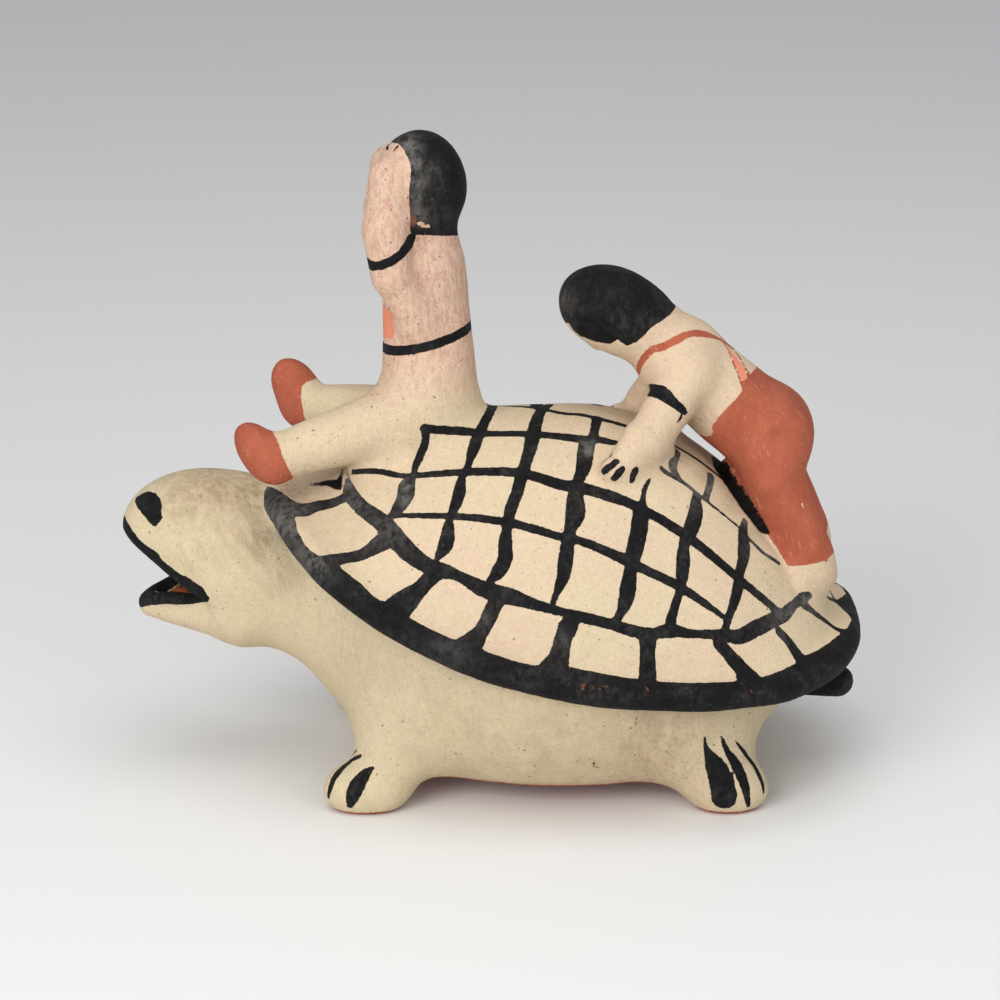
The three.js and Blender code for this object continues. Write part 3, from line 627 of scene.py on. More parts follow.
BAND_EDGE = [
    (265.5, 483), (267.5, 488), (272, 492), (279.5, 499), (290, 511), (296, 522), (296.5, 530), (301, 538),
    (305, 545), (310, 550), (342, 568.6), (360.4, 582.9), (374.7, 597), (416.5, 621.6), (446, 636),
    (484.9, 651), (519.6, 662.4), (542, 666.5), (572, 667.3), (636.5, 678.6), (658, 680.6), (692.7, 682.7),
    (733.5, 681.6), (762, 677.6), (798.8, 661), (811, 653), (831, 641), (840, 634), (848, 627), (852, 619),
]
seen_lines = [*ROWS.values(), *DOWN_LINES.values(), RING, *SPOKES]
shell_lines = [brush_line(shell_with_seat, read) for read in seen_lines]
along, across, width = np.array(SPINE_ROW, float).T
spine = smooth_curve(np.stack([along, across, shell_top(along, across)[0], width], 1))
shell_lines.append(spine)
print(len(shell_lines), "lines laid on the shell")

# %% [markdown]
# ## Marks on the turtle
#
# The turtle has teardrop eyes, black lips, three claws on each foot and a black tail stub.

# %% Eye, lips and claws
EYE = [
    (133.5, 500), (138, 496), (144, 492.5), (150, 491.3), (156, 493.5), (160.5, 499), (162, 505),
    (161.3, 512), (163, 520), (159, 522.5), (157.5, 527), (152, 525.5), (147, 520), (142, 513.5),
    (137, 507),
]
LIPS = [
    (122.5, 506), (124, 514), (127, 522), (133, 531), (140, 540), (147, 546), (157, 552), (159, 555),
    (163, 561), (172, 567.5), (180, 574), (190, 578.5), (194, 581.5), (199, 585), (203, 587), (206, 594),
    (210, 597.5), (207.5, 602), (200, 603), (190, 604), (178, 605), (165, 604), (152, 605), (142, 607),
    (134, 606), (95, 600), (95, 506),
]
CLAWS = [
    [(357, 751, 0.8), (346, 758, 0.8), (335, 769, 0.5)],
    [(361, 756, 1.0), (350, 762, 1.9), (338, 773, 2.0), (331, 786, 1.5), (328.5, 798, 0.8)],
    [(373, 768, 0.9), (365, 774, 2.7), (357, 786, 3.8), (352, 798, 3.0), (350, 806, 1.6)],
    [(705, 738, 0.7), (706, 748, 1.3), (711, 758, 3.0), (717, 770, 5.2), (722, 784, 5.9), (724, 799, 6.0)],
    [(722, 737, 0.9), (727, 750, 1.5), (736, 764, 2.7), (743, 780, 2.6), (747, 796, 1.8), (748.5, 806, 1.0)],
    [(735.5, 741, 0.7), (745, 753, 1.2), (754, 766, 1.5), (761, 780, 1.5), (763.5, 793, 0.7)],
]
turtle_lines = [brush_line(turtle, read) for read in CLAWS]
print(len(turtle_lines), "lines laid on the turtle")

# %% [markdown]
# ## Marks on the children
#
# Hair is painted as a cap. The bands at elbow and arm are drawn in the side view and pass through the limb,
# and the belt is a leaning slice through the body. Shoes, trousers and straps are red earth.

# %% Hair, bands, shoes and clothes
SITTER_HAIR = [
    (397, 143), (401, 146), (404, 150), (407, 157), (410, 163), (411.5, 170), (410, 180), (409, 190),
    (409, 202), (410, 214), (410, 228), (411, 234), (420, 235), (440, 236), (462, 235.5), (485, 236),
    (485, 100), (360, 100), (372, 141), (384, 142.5),
]
BARE_STREAK = [(416, 221), (424, 222.5), (431, 226), (433, 228), (427, 228), (420, 226.3), (416, 225)]
RUST_PATCH = [(410, 214), (415, 214.5), (417, 219), (416, 225), (410, 226)]
ELBOW_BAND = [
    (358, 254), (366, 262.5), (373, 266.3), (381, 265.5), (389, 262.3), (397, 257.7), (403, 252.3),
    (408, 245.5), (411, 238),
]
ELBOW_BAND_WIDTH = 2.15
FINGER_MARKS = [
    [(387, 145.5, 0.9), (387.6, 149, 0.8)],
    [(398, 146, 0.7), (395.5, 148.5, 0.8), (392.5, 152, 0.4)],
    [(383.5, 144.2, 0.4), (377.9, 149.8, 0.4)],
]
BELT_POINT, BELT_SLOPE, BELT_WIDTH = (-26.0, 102.7), 0.256, 2.4
BIB = [
    (376, 304), (382.5, 305), (392.7, 313.4), (393.6, 328.2), (395.5, 334.7), (390.9, 339.3),
    (381.6, 337.5), (374, 336),
]
NEAR_SHOE = [
    (268, 420), (273.4, 431.8), (277, 440), (279.7, 446.8), (282, 454.8), (288.9, 469.7), (293.5, 479.5),
    (296, 492), (220, 500), (210, 400),
]
FAR_SHOE = [
    (325, 372), (317.6, 377.9), (306, 382.5), (301.5, 386), (301, 399.7), (303.2, 411.2), (305, 419.2),
    (312, 427), (290, 440), (255, 400), (260, 340), (310, 340),
]
CLIMBER_HAIR = [
    (558, 330), (563.9, 324.5), (568.7, 322), (571.9, 328.5), (579.9, 335.7), (594.2, 341.3),
    (610.2, 344.5), (618, 339), (626, 346), (637.3, 342), (645.3, 334), (651.6, 327), (661.2, 321.3),
    (670.8, 314), (676, 307), (690, 250), (560, 230), (530, 300),
]
ARM_BAND = [
    (632, 398, 0.8), (639, 392.5, 1.9), (645, 390, 2.6), (653, 390.5, 3.2), (661, 392.5, 3.4),
    (667, 396.5, 3.1), (674, 402.5, 2.4), (681, 408.5, 2.1), (684.5, 411.5, 1.6), (684, 414, 0.5),
    (680, 419, 0.5), (677, 423, 0.5),
]
STRAP = [
    (638, 372.4, 1.5), (642, 361.2, 1.6), (651.6, 350, 1.8), (661.2, 347.7, 1.8), (675.6, 340.5, 1.9),
    (688.3, 334.1, 1.9), (704.3, 333.8, 1.9), (714, 337, 1.3), (722, 341, 1.0),
]
STRAP_STRANDS = [
    [(722, 341, 1.0), (729, 352, 0.9), (733, 362, 0.9), (738, 373, 0.9), (742.5, 384, 0.9)],
    [(722, 340.5, 1.0), (732, 349, 0.9), (739, 357, 0.9), (744, 366, 0.9), (749, 376, 0.9)],
]
STRAP_FILL = [
    (721, 341), (727, 350), (732, 361), (736, 371), (742, 384), (749, 378), (745, 368), (739, 358),
    (731, 348),
]
TROUSERS = [
    (775, 362), (764, 366), (757, 367), (750, 375), (742, 384), (743, 390), (735, 400), (725, 410.5),
    (722, 413), (717, 420), (713, 424), (712, 428), (713, 431), (711, 436), (703, 436.5), (699.5, 434),
    (686, 438), (712, 500), (735, 535), (756, 557), (769, 564), (775, 566), (782, 565), (790, 566),
    (800, 566), (812, 564), (827, 560), (835, 551), (870, 530), (860, 380), (800, 350),
]
FINGERS = [
    [(600, 461, 0.9), (604.5, 456.8, 1.3), (610, 452.5, 1.0)],
    [(604, 471.5, 1.7), (611, 466, 1.8), (616.5, 461.5, 1.6)],
    [(614.5, 477.8, 1.7), (618.5, 473, 1.9), (622.5, 469, 1.4)],
    [(630, 480.5, 1.9), (632.5, 475, 2.1), (635, 470.5, 2.0)],
]
EYE_MARK = [(574, 340, 0.9), (581, 342.5, 0.6)]
# The seated child's face is turned away from the camera and gets plain closed eyes and a mouth, in
# millimetres.
CLOSED_EYE = [(-27.2, -5.4, 143.4), (-27.6, -4.0, 142.6), (-27.8, -2.6, 143.2)]
MOUTH_STROKE = [(-27.2, -1.9, 134.4), (-27.6, 0.0, 133.8), (-27.2, 1.9, 134.4)]
FACE_STROKE_WIDTH = 0.7
face_lines = []
for stroke in (CLOSED_EYE, [(x, -y, z) for x, y, z in CLOSED_EYE], MOUTH_STROKE):
    curve = slide_onto(sitter, smooth_curve(stroke), 3)
    face_lines.append(np.hstack([curve, np.full((len(curve), 1), FACE_STROKE_WIDTH)]))
sitter_lines = [brush_line(sitter, read) for read in FINGER_MARKS]
climber_lines = [brush_line(climber, read) for read in FINGERS]
strap_lines = [brush_line(climber, read) for read in [STRAP, *STRAP_STRANDS]]
print(len(sitter_lines) + len(climber_lines) + len(strap_lines), "lines laid on the children")

# %% [markdown]
# ## The side that the photograph doesn't show
#
# The far side repeats the near one, but no hand paints the same line twice. Each stroke is mirrored, sways
# a little and is laid on the clay again. Filled areas are looked up on the near side after the same sway.

# %% Strokes of the far side
# Close enough to two pi for a wave.
FULL_TURN = 6.28
SWAY_SIZE, SWAY_LENGTH, SWAY_SEED = 1.3, 45, 11


def sway(p):
    """A slow, seeded wander in three directions, of about SWAY_SIZE over SWAY_LENGTH millimetres."""
    own = np.random.default_rng(SWAY_SEED)
    waves = own.normal(size=(5, 3)) / SWAY_LENGTH
    shift = own.uniform(0, FULL_TURN, (5, 3))
    swing = [np.sin(p @ waves.T * FULL_TURN + shift[:, k]).sum(1) / 2 for k in range(3)]
    return SWAY_SIZE * 0.5 * np.stack(swing, 1)


def fold(p):
    """The far side of the figure laid over the near one, with the wander of a second painting."""
    folded = p * (1, 0, 1) - np.abs(p) * (0, 1, 0)
    ramp = np.clip(p[:, 1] / 14, 0, 1)[:, None]
    return folded + ramp * sway(p)


def painted_again(form, lines):
    """The same strokes on the far side, each a little away from where its mirror image would lie."""
    again = []
    for line in lines:
        seen = line[line[:, 1] < 0.5]
        if len(seen) > 1:
            place = seen[:, :3] * (1, -1, 1)
            again.append(np.hstack([slide_onto(form, place + sway(place), 3), seen[:, 3:]]))
    return again


shell_lines += painted_again(shell_with_seat, shell_lines[:-1])
turtle_lines += painted_again(turtle, turtle_lines)
sitter_lines += painted_again(sitter, sitter_lines)
climber_lines += painted_again(climber, climber_lines)
strap_lines += painted_again(climber, strap_lines)
all_lines = shell_lines + turtle_lines + sitter_lines + climber_lines
print("lines with their far copies:", len(all_lines + strap_lines))

# %% [markdown]
# ## More vertices where the brush was fine
#
# A painted edge is stored at the vertices as a distance in millimetres, so a line narrower than two quads
# would break up. The edges under the finest strokes, round the mouth and in the crease behind the climbing
# child's legs are cut once more before the clay is settled for the last time.

# %% Finer quads
FINE_WIDTH, FINE_MARGIN = 3.1, 0.6
JAW_MARGIN, CREASE_MARGIN = 1.0, 1.8
# The climbing child's legs lie behind this place along the clay, and their crease above this height.
LEGS_X, CREASE_Z = 52, 55

fine = [line[line[:, 3] < FINE_WIDTH] for line in all_lines]
fine = [line for line in fine if len(line) > 1]
close = np.minimum.reduce([distance_to_line(p, line) for line in fine])
crease = [climber(p) - CREASE_MARGIN, shell(p) - CREASE_MARGIN, LEGS_X - p[:, 0], CREASE_Z - p[:, 2]]
close = np.minimum.reduce([close, jaw_edge(p) - JAW_MARGIN, np.maximum.reduce(crease)])
bm = bmesh.new()
bm.from_mesh(skin)
chosen = close < FINE_MARGIN
edges = [e for e in bm.edges if chosen[e.verts[0].index] and chosen[e.verts[1].index]]
bmesh.ops.subdivide_edges(bm, edges=edges, cuts=1, use_grid_fill=True)
bmesh.ops.triangulate(bm, faces=[f for f in bm.faces if len(f.verts) > 4])
bm.to_mesh(skin)
bm.free()
triangles = sum(len(f.vertices) - 2 for f in skin.polygons)
print(len(edges), "edges cut; the skin has", triangles, "triangles")

# %% [markdown]
# ## Lumps, dents and small open places
#
# Hand-built clay is never quite even. A few slow waves a quarter of a millimetre high stand for the
# potter's fingers, finer ones for the rubbed surface. The seam under the seated child's near leg was never
# closed, and is open as a slot where the leg crosses the lip of the shell; the dark in it is painted shade,
# added with the cracks.

# %% Final skin
SLOT_PIXEL = (335, 484.5)
SLOT_NARROW, SLOT_WIDE, SLOT_STRETCH = 0.75, 1.25, 1.6
FINGER_DENTS, THUMB_DENTS, RUBBED_DENTS = (0.17, 24, 3), (0.07, 9, 4), (0.018, 3.2, 5)
CALM_ABOVE_SOLES = 3
slot_centre = lay_on(shell, [SLOT_PIXEL])[0] + (0, 0.5, 0.6)
slot_start = slot_centre - (3.0, 0.4, -0.1)
slot_end = slot_centre + (2.2, 0.2, 0.3)


def lumps(p, height, length, seed):
    """Nine waves of about one length, in seeded directions, that add up to uneven clay."""
    own = np.random.default_rng(seed)
    way = own.normal(size=(9, 3))
    way /= np.linalg.norm(way, axis=1)[:, None]
    turns = FULL_TURN / (length * own.uniform(0.7, 1.5, 9))
    return height * np.sin(p @ (way * turns[:, None]).T + own.uniform(0, FULL_TURN, 9)).sum(1) / 4


def worked_clay(p):
    """The figure with its finger marks, lumps and the open seam under the near leg."""
    d = figure(p)
    d = cut_away(d, -roll(p, slot_start, slot_end, SLOT_NARROW, SLOT_WIDE, SLOT_STRETCH), 0.7)
    calm = np.clip(p[:, 2] / CALM_ABOVE_SOLES, 0, 1)
    return d + calm * sum(lumps(p, *dents) for dents in (FINGER_DENTS, THUMB_DENTS, RUBBED_DENTS))


p = clay_points(skin)
p = slide_onto(worked_clay, p, 1, 0.6)
p = slide_onto(worked_clay, even_out(skin, p, 0.35), 2, 0.4)
low = np.array(cad_box[0]) / MM + CLAY_SHIFT
high = np.array(cad_box[1]) / MM + CLAY_SHIFT
p = np.clip(p, low, high)
SOLE_FLATNESS = 0.15
p[np.abs(p[:, 2]) < SOLE_FLATNESS, 2] = 0
set_clay_points(skin, p)
print("slot at", slot_centre.round(1), "- skin between", p.min(0).round(2), "and", p.max(0).round(2))

# %% [markdown]
# ## Which form each point belongs to
#
# A line on the shell stops where a child's leg starts. For each form, the difference between its own field
# and the nearest other one is negative where the point belongs to it, and passes smoothly through zero at
# the seam.

# %% Ownership
fields = {name: form(p) for name, form in FORMS.items()}


def belongs(name):
    """Negative where a vertex belongs to this form and not to the nearest other one."""
    others = np.minimum.reduce([v for key, v in fields.items() if key != name])
    return (fields[name] - others) / 2


folded = fold(p)
pixels = to_pixels(p)
pixels_folded = to_pixels(folded)
slope = value_and_slope(figure, p)[1]
normal = slope / np.maximum(np.linalg.norm(slope, axis=1), 1e-6)[:, None]
print({name: int((belongs(name) < 0).sum()) for name in FORMS})

# %% [markdown]
# ## Painting the masks
#
# Every paint is one number per vertex: the distance to its edge in millimetres, negative under the paint.
# Strokes of the same colour run into each other with a small fillet, as wet slip does. The band along the
# lip is drawn round the shell: for each direction seen from the crown, it ends at its own height up the
# dome.

# %% The band along the lip
RUN_TOGETHER = 0.45


def painted(points, lines):
    """Distance to the nearest painted edge of several lines that run into each other."""
    total = np.full(len(points), UNPAINTED)
    for line in lines:
        total = press_together(total, distance_to_line(points, line), RUN_TOGETHER)
    return total


def side_turn(x, y):
    """0 behind, pi in front, measured round the crown in the plan of the shell."""
    reach = np.where(x < CROWN_X, SHELL_FRONT, SHELL_REAR)
    return np.arctan2(np.abs(y) / SHELL_HALF, (x - CROWN_X) / reach)


def from_lip(q):
    """How far in and how far up a point lies from the middle line of the shell's lip."""
    rho, growth = shell_plan(q[:, 0], q[:, 1])
    return (1 - rho) / growth, q[:, 2] - lip_height(CROWN_X + (q[:, 0] - CROWN_X) / rho)


def up_the_dome(q):
    """Grows from the outside of the lip over its top and up the dome, nearly as fast as the way over it."""
    inward, up = from_lip(q)
    return 0.8 * (inward + up)


edge = lay_on(shell, BAND_EDGE)
turn, rise = side_turn(edge[:, 0], edge[:, 1]), up_the_dome(edge)
order = np.argsort(turn)
BAND_FRONT, BAND_BEHIND = 1.2, 6.0
turns = np.concatenate([[0.0], turn[order], [math.pi]])
rises = np.concatenate([[BAND_BEHIND], rise[order], [BAND_FRONT]])
here = side_turn(folded[:, 0], folded[:, 1])
band = up_the_dome(folded) - np.interp(here, turns, rises)
print("the band ends between", rise.min().round(1), "and", rise.max().round(1), "mm up the dome")

# %% [markdown]
# ## Where the strokes end
#
# A loaded brush doesn't reach into a seam. The net of lines could be trimmed by hand, but the forms already
# know where they meet: strokes stop in the seams to the turtle and the climbing child, and may run a little
# way onto the fillet under the seated one. The band stops in all three, and goes on over the lip.

# %% Black slip on the shell
LIP_MARGIN, OVER_LIP, SKIN_MARGIN = 0.4, 2.0, 0.6
BAND_ONTO_SEAT, STROKE_ONTO_SEAT = 1.0, 4.0
strokes = painted(p, shell_lines)
inward, up = from_lip(p)
over_lip = np.maximum(OVER_LIP - up, -inward - OVER_LIP)
seam_to_turtle = (fields["shell"] - fields["turtle"]) / 2
against_turtle = np.minimum.reduce([seam_to_turtle, fields["shell"] - SKIN_MARGIN, over_lip])
against_sitter = (fields["shell"] - fields["sitter"]) / 2 - BAND_ONTO_SEAT
against_climber = (fields["shell"] - fields["climber"]) / 2
on_shell = np.maximum.reduce([against_turtle, against_sitter, against_climber])
on_lip = np.hypot(inward, up) - LIP_RADIUS - LIP_MARGIN
on_shell = np.minimum(on_shell, np.maximum(on_lip, against_sitter))
off_seat = (fields["shell"] - fields["sitter"]) / 2 - STROKE_ONTO_SEAT
strokes = np.maximum.reduce([strokes, np.minimum(against_turtle, on_lip), off_seat, against_climber])
black_shell = press_together(strokes, np.maximum(band, on_shell), 0.8)
print("black on the shell:", int((black_shell < 0).sum()), "vertices")

# %% [markdown]
# ## Eyes, lips, claws and hair
#
# These marks could be cut into the mesh as edges, but a wet brush leaves no ridge, so they stay paint. Areas
# are outlined in the picture and kept to their own form. The inside of the mouth has no outline in the
# picture: it is the skin that the cut of the mouth left behind.

# %% Black slip on the turtle, and the inside of its mouth
MOUTH_BACK_X, MOUTH_TOP_Z, LIPS_BACK_X, TAIL_BLACK_X = -62, 56, -60, 67
_, gape, hollow = mouth_cut(p)
mouth_skin = np.minimum(np.abs(gape), np.abs(hollow)) - 0.5
mouth = np.maximum.reduce([mouth_skin, 0.45 - jaw_edge(p), p[:, 0] - MOUTH_BACK_X, p[:, 2] - MOUTH_TOP_Z])

lips = np.maximum.reduce([distance_to_area(pixels_folded, LIPS), p[:, 0] - LIPS_BACK_X, -mouth])
black_turtle = np.minimum.reduce([painted(p, turtle_lines), distance_to_area(pixels_folded, EYE), lips])
black_turtle = np.minimum(black_turtle, np.maximum(tail(p) - 0.9, TAIL_BLACK_X - p[:, 0]))
black_turtle = np.maximum(black_turtle, belongs("turtle"))
print("black on the turtle:", int((black_turtle < 0).sum()), "- inside the mouth:", int((mouth < 0).sum()))


# %% Black slip on the children
def band_round(pixels, line, width=None):
    """A band through a limb, as wide as read, drawn in the side view."""
    total = np.full(len(pixels), 1e9)
    line = np.array(line, float)
    for a, b in zip(line, line[1:]):
        axis = (b - a)[:2]
        h = np.clip(((pixels - a[:2]) @ axis) / (axis @ axis), 0, 1)
        half = width / 2 if width else (a[2] + (b[2] - a[2]) * h) / 2
        away = np.linalg.norm(pixels - a[:2] - h[:, None] * axis, axis=1) * MM_PER_PIXEL
        total = np.minimum(total, away - half)
    return total


# Above this height is the seated child's head; arms lie further out than these from the middle line.
SITTER_CHIN_Z, SITTER_ARM_Y, CLIMBER_ARM_Y = 128, 6.0, 6.5
hair = np.maximum(distance_to_area(pixels_folded, SITTER_HAIR), SITTER_CHIN_Z - p[:, 2])
hair = np.maximum(hair, -distance_to_area(pixels, BARE_STREAK))
elbow = np.maximum(band_round(pixels_folded, ELBOW_BAND, ELBOW_BAND_WIDTH), SITTER_ARM_Y - np.abs(p[:, 1]))
belt = np.abs(p[:, 2] - BELT_POINT[1] - BELT_SLOPE * (p[:, 0] - BELT_POINT[0])) - BELT_WIDTH / 2
black_sitter = np.minimum.reduce([hair, elbow, belt, painted(p, sitter_lines + face_lines)])
black_sitter = np.maximum(black_sitter, belongs("sitter"))

climber_hair = distance_to_area(pixels_folded, CLIMBER_HAIR)
arm = np.maximum(band_round(pixels_folded, ARM_BAND), CLIMBER_ARM_Y - np.abs(p[:, 1]))
eye_mark = distance_to_line(folded, brush_line(climber, EYE_MARK))
black_climber = np.minimum.reduce([climber_hair, arm, eye_mark, painted(p, climber_lines)])
black_climber = np.maximum(black_climber, belongs("climber"))

black = np.minimum.reduce([black_shell, black_turtle, black_sitter, black_climber])
print("under black slip:", round(float((black < 0).mean()), 3), "of the vertices")

# %% [markdown]
# ## Red earth
#
# Red earth covers the shoes, the trousers and the underside with its soles, and there is one small drip of
# it. Each shoe was read at its own place, and the trousers and straps are painted again on the far side. The
# bib and the space between the straps have a thinner, orange coat. The underside has no outline to read: it
# is wherever the low skin looks down.

# %% Red earth and orange
RED_DRIPS = [[(826, 556, 0.5), (827, 561, 0.4), (828, 565, 0.3)]]
SHOE_GAP_Y, BIB_X = 4, -22
UNDERSIDE_SLOPE, UNDERSIDE_TOP_Z, SOLE_RED_Z = 0.84, 12, 0.9
near_shoe = np.maximum(distance_to_area(pixels, NEAR_SHOE), p[:, 1] + SHOE_GAP_Y)
far_shoe = np.maximum(distance_to_area(pixels, FAR_SHOE), SHOE_GAP_Y - p[:, 1])
red_sitter = np.maximum(np.minimum(near_shoe, far_shoe), belongs("sitter"))
trousers = distance_to_area(pixels_folded, TROUSERS)
red_climber = np.maximum(press_together(trousers, painted(p, strap_lines), 1.0), belongs("climber"))
underside = np.maximum((normal[:, 2] + UNDERSIDE_SLOPE) * 8, p[:, 2] - UNDERSIDE_TOP_Z)
red_turtle = np.maximum(np.minimum(underside, p[:, 2] - SOLE_RED_Z), belongs("turtle"))
drips = painted(p, [brush_line(figure, read) for read in RED_DRIPS])
red = np.minimum.reduce([red_sitter, red_climber, red_turtle, drips])

bib = np.maximum.reduce([distance_to_area(pixels_folded, BIB), p[:, 0] - BIB_X, belongs("sitter")])
strap_fill = np.maximum(distance_to_area(pixels_folded, STRAP_FILL) + 0.35, belongs("climber"))
orange = np.minimum(bib, strap_fill)
print("red earth:", int((red < 0).sum()), "vertices, orange:", int((orange < 0).sum()))

# %% [markdown]
# ## Wear, cracks, dust and painted shade
#
# Many small marks show that the figure was made and handled: drying cracks, rubbed black, a blush from the
# fire, dust and scratches in the red. Shade is painted as well: near-black in the open seam under the shoe,
# in creases and in the gap behind the shins, and a darker cream on the belly under the shell. Soft ones are
# round spots with a strength, and sharp ones are thin strokes and small areas.

# %% Soft spots
def soft_spots(pixels, spots):
    """0 to 1: soft round patches read as pixel across, pixel down, radius in pixels and strength."""
    total = np.zeros(len(pixels))
    for across, down, radius, strength in spots:
        reach = ((pixels - (across, down)) ** 2).sum(1) / radius**2
        total = np.maximum(total, strength * np.exp(-reach))
    return total


# %% Cracks, and painted shade in the slot, the creases and the gap
# Drying cracks and dark marks, among them lines painted as shade in the crease where the seated child's arm
# meets its body.
CRACKS_AND_CREASE_SHADE = [
    [(383.5, 306, 0.5), (388, 308.5, 0.5), (393.6, 311.5, 0.4)],
    [(393, 291, 0.3), (396, 297, 0.5), (399, 303, 0.4)],
    [(383, 252, 0.4), (385, 256, 0.4)], [(386, 270, 0.3), (388, 276, 0.4)],
    [(589, 757, 0.3), (594, 763, 0.6), (597, 770, 0.3)], [(592, 766, 0.4), (599, 768, 0.3)],
]
# Painted shade: the open slot under the near shoe is filled near-black, and a faint dark line along the
# crease under that leg stands for its shadow.
SLOT_SHADE_AREA = [
    (306, 485), (316, 483), (325, 480.5), (333, 479.5), (339, 479), (341, 472), (343.5, 466), (344.5, 468),
    (342.5, 476), (342, 490), (338, 490.5), (333, 488.5), (327, 486), (318, 485.8),
]
SHOE_SEAM_SHADE = [(264, 482.5, 0.3), (272, 484.5, 0.45), (285, 485.5, 0.4), (300, 485.5, 0.45), (318, 484, 0.7)]
# Painted shadow in the narrow gap between the climbing child's shins and the shell, read around its edge. It
# closes downward.
SHIN_SHADOW = [
    (704, 446), (716, 451), (724, 457), (731, 469), (737.5, 479), (744, 488.5), (754, 503.5),
    (761.5, 516.5), (769, 530.5), (770.5, 536), (765, 535), (759, 531.5), (743, 511), (734, 498),
    (726, 486), (715, 469), (706, 456),
]
cracks_and_shade = painted(p, [brush_line(figure, read) for read in [*CRACKS_AND_CREASE_SHADE, SHOE_SEAM_SHADE]])
cracks_and_shade = np.minimum(cracks_and_shade, np.maximum(distance_to_area(pixels, SLOT_SHADE_AREA), p[:, 1] + SHOE_GAP_Y))
OFF_LEG, OFF_SHELL = 6, 8
in_shin_shadow = [fields["climber"] - OFF_LEG, fields["shell"] - OFF_SHELL, LEGS_X - p[:, 0]]
painted_shin_shadow = np.maximum.reduce([distance_to_area(pixels_folded, SHIN_SHADOW), *in_shin_shadow])
cracks_and_shade = np.minimum(cracks_and_shade, painted_shin_shadow)
print("cracks and gaps:", int((cracks_and_shade < 0).sum()), "vertices")

# %% Worn, rosy, flecked and dusty places, and painted shade
WORN_SPOTS = [
    (407, 485, 9, 0.8), (404, 500, 9, 0.7), (588, 449, 9, 0.9), (709, 487, 14, 0.9), (674, 464, 13, 0.9),
    (745, 521, 7, 0.7), (764, 553, 16, 0.8), (690, 488, 20, 0.7), (355, 500, 22, 0.5), (347, 482, 9, 1.0),
    (390, 535, 26, 0.4), (282, 518, 30, 0.8), (310, 560, 26, 0.6), (262, 488, 8, 1.0),
    (450, 650, 24, 0.25), (408, 148, 12, 1.0), (415, 165, 9, 0.9), (418, 182, 9, 0.9), (416, 200, 8, 0.8),
    (418, 216, 10, 0.8), (430, 172, 12, 0.35), (440, 220, 14, 0.2), (560, 300, 12, 0.5),
    (790, 615, 22, 0.6), (812, 600, 16, 0.8), (480, 620, 14, 0.4), (560, 640, 14, 0.25),
]
ROSY_SPOTS = [
    (205, 484, 26, 0.9), (350, 628, 45, 0.5), (432, 290, 40, 0.7), (430, 240, 30, 0.6), (390, 200, 26, 0.5),
    (400, 440, 60, 0.3), (660, 430, 26, 0.4), (660, 745, 60, 0.8), (690, 765, 30, 0.8), (460, 700, 90, 0.3),
    (620, 575, 60, 0.2), (300, 492, 34, 0.6), (700, 415, 18, 1.0), (430, 600, 40, 0.2), (775, 585, 24, 0.6),
]
FLECKED_SPOTS = [
    (585, 687, 7, 0.7), (605, 688, 5, 0.7), (650, 689, 5, 0.7), (749, 690, 5, 0.6), (690, 690, 5, 0.4),
]
# Dust, and painted shade: the belly under the shell and the seam beside the climbing child's shins are
# darkened as shadow.
DUST_AND_SHADE_SPOTS = [
    (480, 740, 90, 0.55), (560, 745, 80, 0.75), (650, 740, 70, 0.85), (700, 730, 40, 0.5),
    (225, 505, 34, 0.4), (190, 485, 40, 0.6), (340, 530, 34, 0.6), (705, 475, 11, 0.9),
    (731, 502, 11, 0.9), (753, 535, 11, 0.9), (688, 458, 9, 0.7), (160, 575, 24, 0.4), (385, 690, 50, 0.3),
    (420, 440, 16, 0.5),
]
NECK_SPOTS = [
    (245, 495, 30, 1.0), (260, 540, 28, 1.0), (280, 575, 26, 0.6), (215, 490, 34, 0.9), (215, 540, 36, 0.6),
    (190, 560, 26, 0.5), (180, 500, 34, 0.8), (150, 570, 20, 0.4),
]
SCRATCHES = [
    [(800, 498, 0.4), (803, 506, 0.5)],
    [(801, 508, 0.45), (803, 513, 0.3)],
    [(804, 429.5, 0.5), (806, 430.5, 0.4)],
]
SEAM_SOFTNESS = 1.5
TORSO_BOTTOM_Z, TORSO_FADE, LEG_SHARE = 88, 16, 0.12


def share(name):
    """1 well inside a form and 0 outside it, with a soft seam."""
    return np.clip(0.5 - belongs(name) / SEAM_SOFTNESS, 0, 1)


# The slip of the seated child's body is pinker, more pitted and more mottled than that of its legs.
torso = share("sitter") * np.clip((p[:, 2] - TORSO_BOTTOM_Z) / TORSO_FADE, LEG_SHARE, 1)
pink = 0.95 * torso + 0.5 * share("climber") + 0.3 * share("shell") + 0.05
pitted = 0.2 + 0.75 * torso + 0.25 * share("turtle") + 0.25 * share("sitter")
mottled = 0.12 + 0.88 * torso + 0.12 * share("climber")
streaky = np.maximum(0.12, soft_spots(pixels_folded, NECK_SPOTS)) * share("turtle")
print("share of pink slip, least and most:", pink.min().round(2), pink.max().round(2))

# %% [markdown]
# ## Masks kept with the vertices
#
# Each mask becomes a float attribute of the mesh. Painting a picture for the clay would need an unwrapped
# skin and a very large image for edges this sharp. A distance stays sharp at any size, because the material
# decides where it crosses zero, and can let it tremble there.

